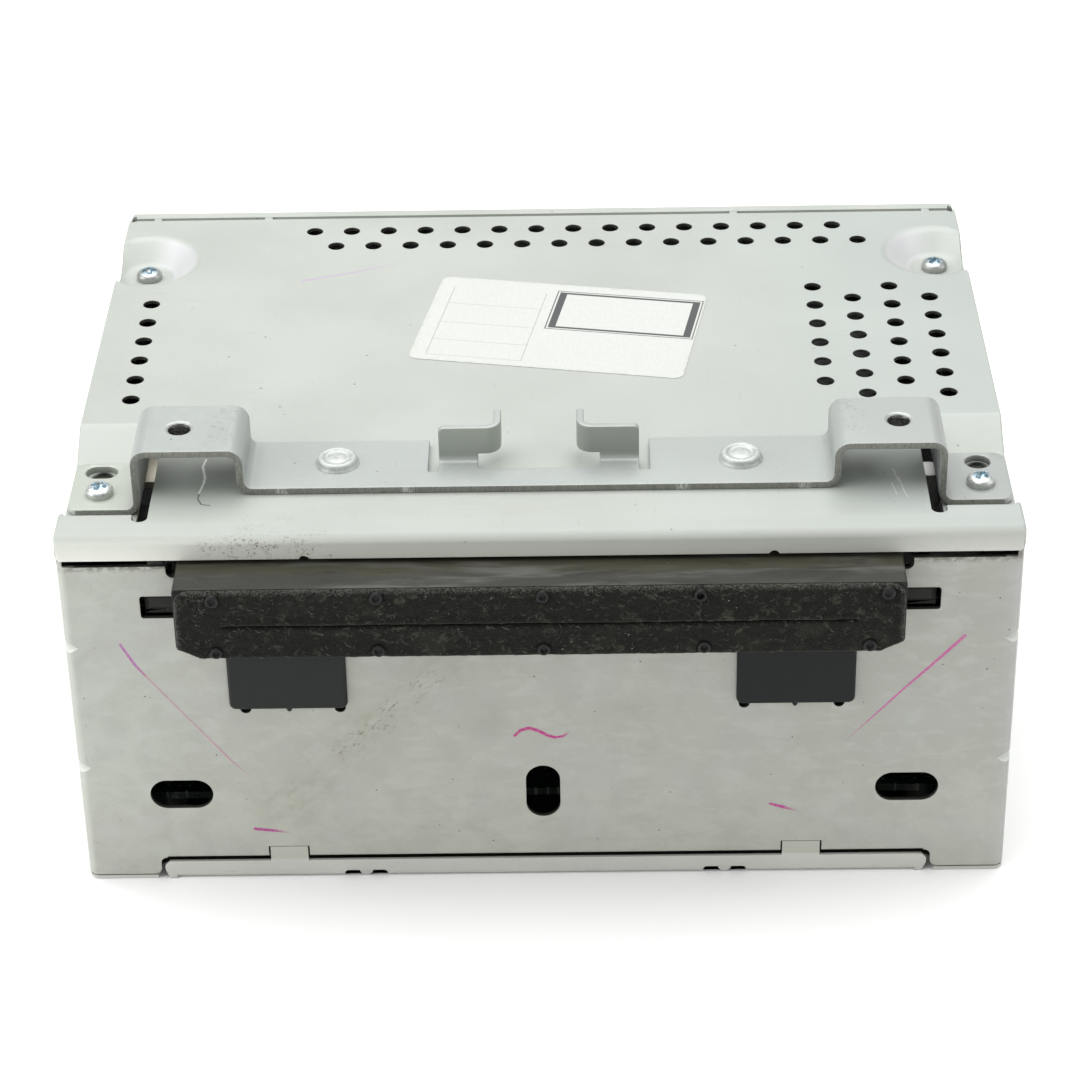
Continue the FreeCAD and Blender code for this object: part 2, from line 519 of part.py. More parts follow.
add("clinch_buttons", button(-38.5), button(38.5))
add("bracket_screws", *[screw(sx * SCREW_X, SCREW_Y, PAD_Z + t, l_sh=7.0) for sx in (-1, 1)])
add("cover_screws", *[screw(sx * REAR_SCREW_X, REAR_SCREW_Y, PAD_Z, l_sh=5.5) for sx in (-1, 1)])
add("side_screws", *[screw(sx * HS, y, z, (-sx, 0, 0), r_head=2.6, h_head=1.5, r_sh=1.28, l_sh=4.6)
                     for sx in (-1, 1) for y, z in SIDE_SCREWS])
add("bottom_screws", *[screw(sx * 83.5, (ya + yb) / 2, Z_BOT + 0.48, (0, 0, 1), r_head=2.7, h_head=0.46, r_sh=1.28, l_sh=3.8)
                       for sx in (-1, 1) for ya, yb in FLOOR_TABS])

# ---------------------------------------------------------------- mouth frame
mf_pts = [(-MOUTH_X, MOUTH_Y, 59.9), (-65.6, MOUTH_Y, 59.3), (-63.4, MOUTH_Y, MOUTH_Z0), (63.4, MOUTH_Y, MOUTH_Z0),
          (65.6, MOUTH_Y, 59.3), (MOUTH_X, MOUTH_Y, 59.9), (MOUTH_X, MOUTH_Y, MOUTH_Z1), (-MOUTH_X, MOUTH_Y, MOUTH_Z1)]
mf = poly(mf_pts, [0.9, 0.6, 0.8, 0.8, 0.6, 0.9, 0.7, 0.7], (0, 0.0 - MOUTH_Y + 7.0, 0))
# throat: wide at the felt, narrowing to the feed roller
def loft_box(x0, x1, y, z0, z1):
    return Part.makePolygon([V(-x0, y, z0), V(x0, y, z0), V(x0, y, z1), V(-x0, y, z1), V(-x0, y, z0)])
th = Part.makeLoft([loft_box(60.8, 0, MOUTH_Y - 0.01, 60.7, 69.9), loft_box(60.8, 0, -3.0, 60.9, 69.7)], True, True)
th2 = Part.makeLoft([loft_box(60.8, 0, -3.0, 60.9, 69.7), loft_box(61.2, 0, 7.01, 63.3, 67.4)], True, True)
mf = mf.cut(th).cut(th2)
# hollow back of the moulding, above and below the throat, behind the front wall
mf = mf.cut(box(-66.2, -2.0, 1.5, 8, 69.6, 71.9)).cut(box(2.0, 66.2, 1.5, 8, 69.6, 71.9))
for sx in (-1, 1):
    # latch ears behind the side windows
    ear = box(*sorted((sx * 66.0, sx * 74.3)), 1.0, 3.6, 61.6, 66.9)
    pad = poly([(sx * 67.0, 0.7, 62.5), (sx * 74.2, 0.7, 62.5), (sx * 74.2, 0.7, 65.7), (sx * 67.0, 0.7, 65.7)], 0.3, (0, 1.0, 0))
    bev = Part.makeLoft([Part.makePolygon([V(sx * 67.0, 1.3, 62.35), V(sx * 74.35, 1.3, 62.35), V(sx * 74.35, 1.3, 65.8), V(sx * 67.0, 1.3, 65.8), V(sx * 67.0, 1.3, 62.35)]),
                         Part.makePolygon([V(sx * 67.0, 0.35, 63.3), V(sx * 73.3, 0.35, 63.3), V(sx * 73.3, 0.35, 65.6), V(sx * 67.0, 0.35, 65.6), V(sx * 67.0, 0.35, 63.3)])], True, True)
    mf = mf.fuse(ear).fuse(bev)
    # tongue that hangs in front of the front wall
    tg = poly([(sx * 37.1, -1.2, 40.5), (sx * 59.7, -1.2, 40.5), (sx * 59.7, -1.2, 60.0), (sx * 37.1, -1.2, 60.0)], [1.3, 1.3, 0, 0], (0, 1.15, 0))
    es = [e for e in tg.Edges if abs(e.BoundBox.YMax + 1.2) < 1e-4 and abs(e.BoundBox.YMin + 1.2) < 1e-4 and e.BoundBox.ZMax < 60.01 and e.BoundBox.ZMin < 59.9]
    try:
        tg = tg.makeChamfer(0.45, es)
    except Exception:
        pass
    mf = mf.fuse(tg)
    mf = mf.fuse(cyl(0.45, 0.9, (sx * 48.3, -0.95, 40.35), (0, 1, 0)))
PINS = [(-60.4, 71.4), (-30.0, 71.4), (0.5, 71.4), (29.8, 71.4), (64.2, 71.3),
        (-60.2, 59.9), (-29.9, 59.9), (0.6, 59.9), (30.4, 59.9), (61.1, 59.9)]
for x, z in PINS:
    mf = mf.cut(cyl(0.7, 1.3, (x, MOUTH_Y - 0.1, z), (0, 1, 0)))
mf = mf.removeSplitter()
add("mouth_frame", mf)

# ---------------------------------------------------------------- felt: fixed surround and two bending lips
fy = MOUTH_Y - FELT_T
fs = poly([(-67.5, fy, 60.3), (-65.7, fy, 59.5), (-63.5, fy, 58.15), (63.5, fy, 58.15), (65.7, fy, 59.5), (67.5, fy, 60.3),
           (67.5, fy, 72.95), (-67.5, fy, 72.95)], [1.0, 0.6, 0.8, 0.8, 0.6, 1.0, 2.8, 2.8], (0, FELT_T, 0))
zu, zl = SLIT_Z + LIP_HINGE, SLIT_Z - LIP_HINGE
fs = fs.cut(box(-59.3, 59.3, fy - 1, MOUTH_Y + 1, zl - 0.9, zu + 0.9))
for x, z in PINS:
    fs = fs.cut(cyl(0.75, 3, (x, fy - 1, z), (0, 1, 0)))
add("felt_surround", fs)
ym = MOUTH_Y - FELT_T / 2
up = box(-59.0, 59.0, fy, MOUTH_Y, SLIT_Z + 0.2, zu).fuse(cyl(FELT_T / 2, 118.0, (-59.0, ym, zu), (1, 0, 0))).removeSplitter()
lo = box(-59.0, 59.0, fy, MOUTH_Y, zl, SLIT_Z - 0.2).fuse(cyl(FELT_T / 2, 118.0, (-59.0, ym, zl), (1, 0, 0))).removeSplitter()
add("felt_lip_upper", up)
add("felt_lip_lower", lo)


def stake(x, z):
    s = cone(1.3, 1.05, 0.55, (x, fy, z), (0, -1, 0)).fuse(cyl(0.65, FELT_T + 1.2, (x, fy, z), (0, 1, 0)))
    return s.cut(cone(0.5, 0.95, 0.4, (x, fy - 0.16, z), (0, -1, 0)))


add("heat_stakes", *[stake(x, z) for x, z in PINS])

# ---------------------------------------------------------------- paper label
lab = rrect_xy(-28.1, 28.1, -17.9, 17.9, 2.0, HC, 0.12)
lab.rotate(V(0, 0, 0), V(0, 0, 1), -10.3)
lab.translate(V(4.0, 79.7, 0))
add("paper_label", lab)

# ---------------------------------------------------------------- mechanism frame (deck), folded sheet
dk = box(-MECH_X, MECH_X, 20.0, 126.0, DECK_Z - 1.0, DECK_Z)
for sx in (-1, 1):
    xa, xb = sorted((sx * MECH_X, sx * (MECH_X - 1.0)))
    dk = dk.fuse(box(xa, xb, 20.0, 126.0, 46.0, DECK_Z))
    for y in (38.0, 112.0):
        dk = dk.fuse(rrect_xy(*sorted((sx * (MECH_X - 0.5), sx * 82.0)), y - 7, y + 7, 0.0, 50.0, 1.2))
dk = dk.fuse(box(-MECH_X, MECH_X, 125.0, 126.0, 52.0, DECK_Z))
dk = dk.cut(cyl(17.0, 4, (0, TT_Y, DECK_Z - 2)))
dk = dk.cut(rrect_xy(8.0, 64.0, 56.6, 73.6, 2.0, DECK_Z - 2, 4))
for sx in (-1, 1):
    dk = dk.cut(box(*sorted((sx * 62.5, sx * 66.0)), 19, 32.0, DECK_Z - 2, DECK_Z + 1))
for sx in (-1, 1):
    for y in (38.0, 112.0):
        dk = dk.cut(cyl(2.4, 4, (sx * 75.0, y, 48.5)))
    dk = dk.cut(cyl(1.5, 6, (sx * 64, ARM_Y, ARM_Z), (sx, 0, 0)))
dk = dk.removeSplitter()
add("mechanism_deck", dk)

# ---------------------------------------------------------------- mechanism top plate
tp = box(-MECH_X, MECH_X, 7.5, 126.0, TOP_PLATE_Z, TOP_PLATE_Z + 0.8)
for sx in (-1, 1):
    xa, xb = sorted((sx * MECH_X, sx * (MECH_X - 1.0)))
    tp = tp.fuse(box(xa, xb, 20.0, 126.0, DECK_Z, TOP_PLATE_Z + 0.3))
    tp = tp.fuse(box(xa, xb, 7.5, 20.0, 66.0, TOP_PLATE_Z + 0.3))
    # lugs that carry the clamp arm pin
    xa, xb = sorted((sx * 23.0, sx * 24.2))
    tp = tp.fuse(box(xa, xb, 115.5, 122.5, 66.5, TOP_PLATE_Z + 0.3))
tp = tp.cut(rrect_xy(-22.6, 22.6, 46.0, 123.5, 3.0, TOP_PLATE_Z - 1, 4))
for sx in (-1, 1):
    tp = tp.cut(rrect_xy(*sorted((sx * 38, sx * 52)), 36, 52, 3.0, TOP_PLATE_Z - 1, 4))
    tp = tp.cut(cyl(1.0, 6, (sx * 21, CLAMP_Y, CLAMP_Z), (sx, 0, 0)))
GC_Y = ROLL_Y + 2.16
GC_Z = ROLL_Z + 7.62
tp = tp.cut(cyl(1.0, 4, (-64, GC_Y, GC_Z), (-1, 0, 0)))
tp = tp.removeSplitter()
add("mechanism_top_plate", tp)

# ---------------------------------------------------------------- upper disc guide at the mouth
dg = poly([(-62.5, 8.2, TOP_PLATE_Z), (-62.5, 8.2, 67.6), (-62.5, 10.6, 66.5), (-62.5, 17.0, 66.5), (-62.5, 20.5, 68.0), (-62.5, 20.5, TOP_PLATE_Z)],
          [0, 0.8, 1.0, 1.0, 0.8, 0], (125.0, 0, 0))
for i in range(10):
    x = -56 + 12.4 * i
    dg = dg.cut(box(x - 4.8, x + 4.8, 10.0, 18.8, 68.6, 80))
add("disc_guide", dg)

# ---------------------------------------------------------------- roller arm (pivots), feed roller
ra = box(-65.4, 65.4, 18.0, 25.5, 49.0, 50.2)
for sx in (-1, 1):
    xa, xb = sorted((sx * 65.4, sx * 64.2))
    side = poly([(xa, 9.8, 58.6), (xa, 18.0, 49.0), (xa, 26.0, 49.0), (xa, 30.2, 56.0), (xa, 27.5, 59.6), (xa, 14.5, 64.0), (xa, 10.2, 63.0)],
                [1, 2, 1, 2, 2, 1.5, 1.5], (xb - xa, 0, 0))
    side = side.cut(cyl(1.56, 4, (sx * 63, ARM_Y, ARM_Z), (sx, 0, 0)))
    side = side.cut(cyl(1.56, 4, (sx * 63, ROLL_Y, ROLL_Z), (sx, 0, 0)))
    ra = ra.fuse(side)
ra = ra.removeSplitter()
add("roller_arm", ra)
rs = cyl(1.5, 70.6 + 66.2, (-70.6, ROLL_Y, ROLL_Z), (1, 0, 0))
add("feed_roller_shaft", rs)


def half_roller(s):
    a = cone(ROLL_R, 3.3, 56.5, (s * 58.5, ROLL_Y, ROLL_Z), (-s, 0, 0))
    return a.cut(cyl(1.5, 130, (-65, ROLL_Y, ROLL_Z), (1, 0, 0)))


add("feed_roller_rubber", half_roller(-1), half_roller(1))
ANG = math.atan2(GC_Z - ROLL_Z, GC_Y - ROLL_Y)
g_r = gear(Z_ROLL, MOD, -70.2, -68.0, ROLL_Y, ROLL_Z, ANG, 1.5)
add("feed_roller_gear", g_r)
# reduction gear: small gear meets the roller gear, large gear meets the motor
ph_p = ANG + math.pi + math.pi / Z_PIN
g_p = gear(Z_PIN, MOD, -70.9, -67.9, GC_Y, GC_Z, ph_p, 1.05)
ALPHA = math.radians(35)
GM_D = MOD * (Z_BIG + Z_MOT) / 2 + 0.12
GM_Y = GC_Y + GM_D * math.cos(ALPHA)
GM_Z = GC_Z - GM_D * math.sin(ALPHA)
g_b = gear(Z_BIG, MOD, -72.7, -71.2, GC_Y, GC_Z, -ALPHA, 1.05)
hub = cyl(4.6, 0.3, (-71.2, GC_Y, GC_Z), (1, 0, 0)).cut(cyl(1.05, 2, (-72, GC_Y, GC_Z), (1, 0, 0)))
rg = g_p.fuse(hub).fuse(g_b)
add("reduction_gear", rg)
mp = gear(Z_MOT, MOD, -72.7, -71.2, GM_Y, GM_Z, -ALPHA + math.pi + math.pi / Z_MOT, None)
mp = mp.fuse(cyl(0.8, 8.0, (-79.0, GM_Y, GM_Z), (1, 0, 0))).removeSplitter()
add("loading_motor_pinion", mp)
lm = cyl(8.0, 13.0, (-88.0, GM_Y, GM_Z), (1, 0, 0)).common(box(-90, -70, 0, 60, GM_Z - 6.2, GM_Z + 6.2))
lm = lm.fuse(cyl(2.6, 0.6, (-75.1, GM_Y, GM_Z), (1, 0, 0)))
lm = lm.cut(cyl(0.86, 6.0, (-79.4, GM_Y, GM_Z), (1, 0, 0)))
add("loading_motor", lm)
# gear plate, pale plastic, fixed on two posts to the frame side
gp = poly([(-74.5, 9.5, 64.0), (-74.5, 30.5, 55.0), (-74.5, 40.5, 55.0), (-74.5, 40.5, 71.0), (-74.5, 12.0, 72.8), (-74.5, 9.5, 71.5)], [1.5, 2, 2, 3, 2, 1.5], (1.2, 0, 0))
gp = gp.cut(cyl(2.8, 4, (-76, GM_Y, GM_Z), (1, 0, 0)))
gp = gp.fuse(cyl(2.2, 6.3, (-73.3, 36.5, 66.5), (1, 0, 0)))
gp = gp.fuse(cyl(2.2, 6.3, (-73.3, 36.5, 58.0), (1, 0, 0)))
gp = gp.cut(cyl(1.0, 4, (-76, GC_Y, GC_Z), (1, 0, 0)))
gp = gp.fuse(box(-77.6, -73.3, 31.4, 40.5, 70.6, 72.1))
gp = gp.removeSplitter()
add("gear_plate", gp)
ap = cyl(1.0, 9.0, (-75.0, GC_Y, GC_Z), (1, 0, 0))
add("gear_axle", ap)
pins = [cyl(1.5, 4.4, (sx * 63.4, ARM_Y, ARM_Z), (sx, 0, 0)).fuse(cyl(2.4, 0.8, (sx * MECH_X, ARM_Y, ARM_Z), (sx, 0, 0))).removeSplitter() for sx in (-1, 1)]
add("roller_arm_pins", *pins)
# white nylon post under the right-hand cover slot
post = cyl(2.6, 10.0, (75.5, 33.0, 62.0)).fuse(box(MECH_X, 76.0, 31.0, 35.0, 62.0, 65.0)).removeSplitter()
add("guide_post", post)

# ---------------------------------------------------------------- clamp arm, clamper
def open_up(s):
    s = s.copy()
    s.rotate(V(0, CLAMP_Y, CLAMP_Z), V(1, 0, 0), -CLAMP_OPEN)
    return s


ca = poly([(-11.0, 50.5, 68.7), (11.0, 50.5, 68.7), (15.0, 62.0, 68.7), (15.0, 76.0, 68.7), (12.0, 92.0, 68.7), (20.4, 112.0, 68.7), (20.4, 121.0, 68.7),
           (-20.4, 121.0, 68.7), (-20.4, 112.0, 68.7), (-12.0, 92.0, 68.7), (-15.0, 76.0, 68.7), (-15.0, 62.0, 68.7)], [2] * 12, (0, 0, 1.0))
ca = ca.cut(cyl(6.6, 4, (0, TT_Y, 67)))
ca = ca.cut(rrect_xy(-5, 5, 84, 108, 2.0, 67, 4))
for sx in (-1, 1):
    e = poly([(sx * 20.4, 115.6, 68.2), (sx * 20.4, 121.0, 68.2), (sx * 20.4, 121.6, 71.2), (sx * 20.4, 116.4, 71.6)], [0.5, 0.5, 1.2, 1.2], (-sx * 1.0, 0, 0))
    ca = ca.fuse(e)
    ca = ca.cut(cyl(1.05, 4, (sx * 18, CLAMP_Y, CLAMP_Z), (sx, 0, 0)))
ca = ca.cut(box(-19.4, 19.4, 116.8, 121.2, 68.0, 71.0))
ca = ca.removeSplitter()
add("clamp_arm", open_up(ca))
cl = cyl(13.0, 1.6, (0, TT_Y, 63.6)).fuse(cone(12.0, 8.5, 3.0, (0, TT_Y, 65.2)))
cl = cl.fuse(cyl(6.3, 1.9, (0, TT_Y, 68.1))).fuse(cyl(8.4, 1.0, (0, TT_Y, 69.85)))
cl = cl.cut(cone(8.0, 7.6, 1.4, (0, TT_Y, 63.59)))
cl = cl.cut(cyl(3.4, 0.7, (0, TT_Y, 70.3)))
add("clamper_disc", open_up(cl.removeSplitter()))
cp = cyl(1.0, 2 * 24.6, (-24.6, CLAMP_Y, CLAMP_Z), (1, 0, 0))
cp = cp.fuse(cyl(1.8, 0.8, (-25.0, CLAMP_Y, CLAMP_Z), (1, 0, 0))).fuse(cyl(1.8, 0.8, (24.2, CLAMP_Y, CLAMP_Z), (1, 0, 0))).removeSplitter()
add("clamp_arm_pin", cp)
sp = []
for sx in (-1, 1):
    c = cyl(2.0, 3.4, (sx * 8.5, CLAMP_Y, CLAMP_Z), (sx, 0, 0)).cut(cyl(1.0, 6, (sx * 7.5, CLAMP_Y, CLAMP_Z), (sx, 0, 0)))
    sp.append(c)
add("clamp_springs", *sp)

# ---------------------------------------------------------------- traverse base with spindle motor, rods, sled, screw
tb = rrect_xy(-24.0, 66.0, 47.0, 88.0, 3.0, 47.6, 1.6)
tb = tb.cut(rrect_xy(18.0, 60.0, 59.0, 71.0, 2.0, 46, 5))
for x, y in ((-20, 50.5), (0, 85.3)):
    tb = tb.fuse(cyl(2.3, DECK_Z - 1.0 - 49.0, (x, y, 49.0)))
for y in (ROD_Y1, ROD_Y2):
    for xa, xb in ((11.4, 13.6), (63.6, 65.8)):
        hold = box(xa, xb, y - 2.6, y + 2.6, 49.0, SLED_Z + 2.6)
        tb = tb.fuse(hold)
        tb = tb.cut(cyl(1.5, xb - xa + 0.4, (xa - 0.2, y, SLED_Z), (1, 0, 0)))
tb = tb.fuse(box(62.6, 64.6, SCREW_Y_AX - 2.4, SCREW_Y_AX + 2.4, 49.0, SCREW_Z_AX + 2.4).cut(cyl(0.86, 6, (61, SCREW_Y_AX, SCREW_Z_AX), (1, 0, 0))))
tb = tb.removeSplitter()
add("traverse_base", tb)
add("guide_rods", *[cyl(1.5, 54.4, (11.4, y, SLED_Z), (1, 0, 0)) for y in (ROD_Y1, ROD_Y2)])
sm = cyl(11.0, 9.4, (0, TT_Y, 49.2)).cut(cyl(1.06, 12, (0, TT_Y, 50.6)))
sm = sm.fuse(cyl(3.0, 1.2, (0, TT_Y, 58.4)).cut(cyl(1.06, 4, (0, TT_Y, 58))))
add("spindle_motor", sm.removeSplitter())
tt = cyl(1.0, 12.0, (0, TT_Y, 51.0)).fuse(cyl(12.4, 1.9, (0, TT_Y, 60.2))).fuse(cone(7.4, 6.6, 1.9, (0, TT_Y, 62.0)))
tt = tt.fuse(cyl(15.0, 0.8, (0, TT_Y, 60.2)))
tt = tt.fuse(cyl(3.4, 0.5, (0, TT_Y, 59.8)))
tt = tt.cut(cyl(3.0, 0.5, (0, TT_Y, 63.5)))
add("turntable", tt.removeSplitter())
add("turntable_pad", cyl(14.8, TT_Z - 61.0, (0, TT_Y, 61.0)).cut(cyl(12.4, 4, (0, TT_Y, 60))))
# sled with the laser pick-up; the lens stands at 24 mm from the turntable axis
LX = 24.0
sl = box(LX - 9.6, LX + 4.6, 57.6, 72.2, 51.6, 58.6)
sl = sl.fuse(box(LX - 9.6, LX + 4.6, 72.0, 77.2, 52.6, 58.4))
sl = sl.fuse(box(LX - 6.0, LX + 3.0, 53.0, 58.0, 53.0, 58.0))
sl = sl.cut(cyl(1.56, 40, (0, ROD_Y1, SLED_Z), (1, 0, 0)))
sl = sl.cut(box(-20, 80, 50.0, ROD_Y2 + 0.0, SLED_Z - 1.6, SLED_Z + 1.6)).cut(cyl(1.6, 80, (0, ROD_Y2, SLED_Z), (1, 0, 0)))
sl = sl.cut(cyl(11.9, 12, (0, TT_Y, 50)))
sl = sl.fuse(box(LX - 8, LX - 2, 76.8, SCREW_Y_AX - 2.1, 53.6, 56.4))
sl = sl.fuse(cyl(4.6, 1.2, (LX, TT_Y, 58.5)))
sl = sl.removeSplitter()
add("pickup_sled", sl)
ln = cyl(3.4, 1.0, (LX, TT_Y, 59.7))
ln = ln.fuse(Part.makeSphere(4.5, V(LX, TT_Y, 60.9 - 4.5)).common(cyl(2.2, 2.0, (LX, TT_Y, 60.5)))).removeSplitter()
add("pickup_lens", ln)
# lead screw and sled motor
ls = cyl(1.3, 63.8, (-1.4, SCREW_Y_AX, SCREW_Z_AX), (1, 0, 0)).fuse(cyl(0.8, 24.0, (-22.0, SCREW_Y_AX, SCREW_Z_AX), (1, 0, 0)))
ls = ls.fuse(cyl(0.8, 3.0, (61.6, SCREW_Y_AX, SCREW_Z_AX), (1, 0, 0)))
for k in range(17):
    ls = ls.fuse(cone(1.3, 1.75, 0.5, (13.5 + 2.7 * k, SCREW_Y_AX, SCREW_Z_AX), (1, 0, 0)).fuse(cone(1.75, 1.3, 0.5, (14.0 + 2.7 * k, SCREW_Y_AX, SCREW_Z_AX), (1, 0, 0))))
add("lead_screw", ls.removeSplitter())
sdm = cyl(4.7, 15.0, (-22.6, SCREW_Y_AX, SCREW_Z_AX), (1, 0, 0)).common(box(-40, 0, 60, 100, SCREW_Z_AX - 4.2, 80))
sdm = sdm.cut(cyl(0.86, 20.0, (-22.1, SCREW_Y_AX, SCREW_Z_AX), (1, 0, 0)))
sdm = sdm.fuse(box(-22.6, -8.0, SCREW_Y_AX - 3.0, SCREW_Y_AX + 3.0, 49.2, SCREW_Z_AX - 4.0))
add("sled_motor", sdm.removeSplitter())

# ---------------------------------------------------------------- mounting rails, dampers, springs
rails, damp, spr = [], [], []
for sx in (-1, 1):
    r = sheet([(sx * (HS - T_CH - 0.1), 34.5), (sx * (HS - T_CH - 0.1), 44.8), (sx * 70.0, 44.8)], [0, 1.0, 0], (1.1 if sx > 0 else -1.1),
              lambda a, b: (a, 30.0, b), (0, 88.0, 0))
    for y, z in SIDE_SCREWS[:2]:
        r = r.fuse(cyl(2.4, 1.4, (sx * (HS - T_CH - 1.2), y, z), (-sx, 0, 0)))
        r = r.cut(cyl(1.3, 8, (sx * 91, y, z), (-sx, 0, 0)))
    for y in (38.0, 112.0):
        r = r.cut(cyl(2.4, 5, (sx * 75.0, y, 42)))
    r = r.cut(box(*sorted((sx * 60, sx * 100)), 52, 100, 20, 41.5))
    rails.append(r.removeSplitter())
    for y in (38.0, 112.0):
        d = cyl(4.2, 5.1, (sx * 75.0, y, 44.85)).fuse(cyl(2.35, 10.2, (sx * 75.0, y, 42.4))).fuse(cyl(3.3, 0.9, (sx * 75.0, y, 51.25)))
        d = d.fuse(cyl(3.3, 0.9, (sx * 75.0, y, 42.75)))
        damp.append(d.removeSplitter())
        s = cyl(6.0, 5.2, (sx * 75.0, y, 44.8)).cut(cyl(5.3, 6, (sx * 75.0, y, 44.5)))
        spr.append(s)
add("suspension_rails", *rails)
add("rubber_dampers", *damp)
add("suspension_springs", *spr)

# ---------------------------------------------------------------- boards, connector, ribbon
mb = rrect_xy(-84.0, 84.0, 12.0, 128.0, 2.0, BOARD_Z, 1.6)
for x, y in BOARD_POSTS:
    mb = mb.cut(cyl(1.6, 4, (x, y, BOARD_Z - 1)))
add("main_board", mb)
add("board_screws", *[screw(x, y, BOARD_Z + 1.6, r_head=2.6, h_head=1.6, r_sh=1.24, l_sh=6.0) for x, y in BOARD_POSTS])
bz = BOARD_Z + 1.6
comps = [box(-44, -24, 56, 76, bz, bz + 2.2), box(8, 36, 54, 78, bz, bz + 2.6), box(48, 62, 88, 98, bz, bz + 2.0),
         cyl(6.3, 20, (-58, 106, bz)), cyl(6.3, 20, (-43, 106, bz)), cyl(5.0, 16, (-29.5, 112, bz)), cyl(4.0, 11, (52, 40, bz)), cyl(4.0, 11, (62, 40, bz)),
         box(46, 66, 104, 124, bz, bz + 11), box(-66, -52, 36, 50, bz, bz + 9), box(-20, -12, 36, 42, bz, bz + 4), box(-8, -2, 88, 100, bz, bz + 3),
         box(70, 80, 50, 56, bz, bz + 5), box(-46, -28, 20, 26, bz, bz + 6), box(20, 32, 28, 34, bz, bz + 3)]
for i in range(12):
    comps.append(box(-18 + 3.4 * i, -16 + 3.4 * i, 46, 49, bz, bz + 1.2))
add("board_components", *comps)
cn = box(-CON_X, CON_X, 117.0, 137.5, CON_Z0, CON_Z1)
cn = cn.cut(rrect(-CON_X + 1.6, CON_X - 1.6, CON_Z0 + 1.6, CON_Z1 - 1.6, 1.0, 124.0, 20))
cn = cn.cut(box(-3.0, 3.0, 124.0, 140, CON_Z1 - 2.0, CON_Z1 + 1))
cn = cn.fuse(box(-CON_X + 2, CON_X - 2, 117.0, 123.0, bz, CON_Z0 + 0.5))
for k in range(10):
    x = -16.2 + 3.6 * k
    for z in (22.5, 33.5):
        cn = cn.cut(box(x - 0.5, x + 0.5, 116, 126, z - 0.5, z + 0.5))
add("rear_connector", cn.removeSplitter())
pn = []
for k in range(10):
    x = -16.2 + 3.6 * k
    for z, yb in ((22.5, 115.2), (33.5, 113.0)):
        p = box(x - 0.5, x + 0.5, yb, 134.0, z - 0.5, z + 0.5).fuse(box(x - 0.5, x + 0.5, yb, yb + 1.0, bz, z + 0.5)).removeSplitter()
        pn.append(p)
add("connector_pins", *pn)
sb = rrect_xy(-63.0, -28.0, 40.0, 82.0, 1.5, 56.6, 1.6)
sb2 = [cyl(2.0, 1.6, (x, y, 58.2)) for x, y in ((-60, 43), (-60, 79), (-31, 43), (-31, 79))]
add("servo_board", sb.multiFuse(sb2).removeSplitter(), )
add("servo_chips", box(-52, -40, 54, 66, 55.0, 56.6), box(-58, -52, 70, 76, 55.4, 56.6), box(-38, -33, 46, 56, 55.6, 56.6), box(-56, -38, 78, 81, 53.2, 56.6))
rb = sheet([(81.0, 54.6), (96.0, 54.6), (96.0, 24.0), (84.0, 24.0), (84.0, bz + 2.2)], [0, 2.5, 2.5, 2.0, 0], 0.3, yz(-54.0), (14.0, 0, 0))
add("ribbon_cable", rb)
add("ribbon_socket", box(-56, -38, 81.6, 86.4, bz, bz + 4.6).cut(box(-54.2, -39.8, 83.9, 84.4, bz + 2.2, bz + 6)))

# ---------------------------------------------------------------- write
total = 0
for name, s in nodes.items():
    s = s.copy()
    s.translate(V(0, -YC, -Z_BOT))
    if not s.isValid():
        print("INVALID", name)
    s.exportStep("parts/%s.step" % name)
    b = s.BoundBox
    total += 1
    print("%-24s n=%d v=%9.1f  x %.2f %.2f y %.2f %.2f z %.2f %.2f" % (name, len(s.Solids), s.Volume, b.XMin, b.XMax, b.YMin + YC, b.YMax + YC, b.ZMin, b.ZMax))
print(total, "nodes")
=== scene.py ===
import math
import random

import bpy
import bmesh
from mathutils import Matrix, Vector, noise as mnoise


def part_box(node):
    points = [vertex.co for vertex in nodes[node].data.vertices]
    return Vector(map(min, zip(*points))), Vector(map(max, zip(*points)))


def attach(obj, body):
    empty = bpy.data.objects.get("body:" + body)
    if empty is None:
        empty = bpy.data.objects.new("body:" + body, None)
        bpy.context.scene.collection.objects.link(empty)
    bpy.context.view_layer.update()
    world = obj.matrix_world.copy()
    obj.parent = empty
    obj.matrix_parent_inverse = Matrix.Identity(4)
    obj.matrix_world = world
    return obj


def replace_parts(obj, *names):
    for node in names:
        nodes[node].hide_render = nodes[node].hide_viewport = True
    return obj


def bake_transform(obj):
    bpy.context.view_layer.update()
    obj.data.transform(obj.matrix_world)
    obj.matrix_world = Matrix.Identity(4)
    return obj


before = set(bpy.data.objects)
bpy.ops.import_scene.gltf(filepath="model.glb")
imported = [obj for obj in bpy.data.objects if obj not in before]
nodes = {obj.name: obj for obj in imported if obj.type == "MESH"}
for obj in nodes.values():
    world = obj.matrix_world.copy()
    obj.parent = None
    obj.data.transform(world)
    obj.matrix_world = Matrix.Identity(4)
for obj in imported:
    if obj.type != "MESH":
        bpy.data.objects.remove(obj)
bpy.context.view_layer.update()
MM = 0.001
YC = 63.5  # mm from the front face of the case to the row's origin
ZB = -0.7  # height of the bottom face in the measured frame
rng = random.Random(7)


def P(x, y, z):
    return Vector((x * MM, (y - YC) * MM, (z - ZB) * MM))


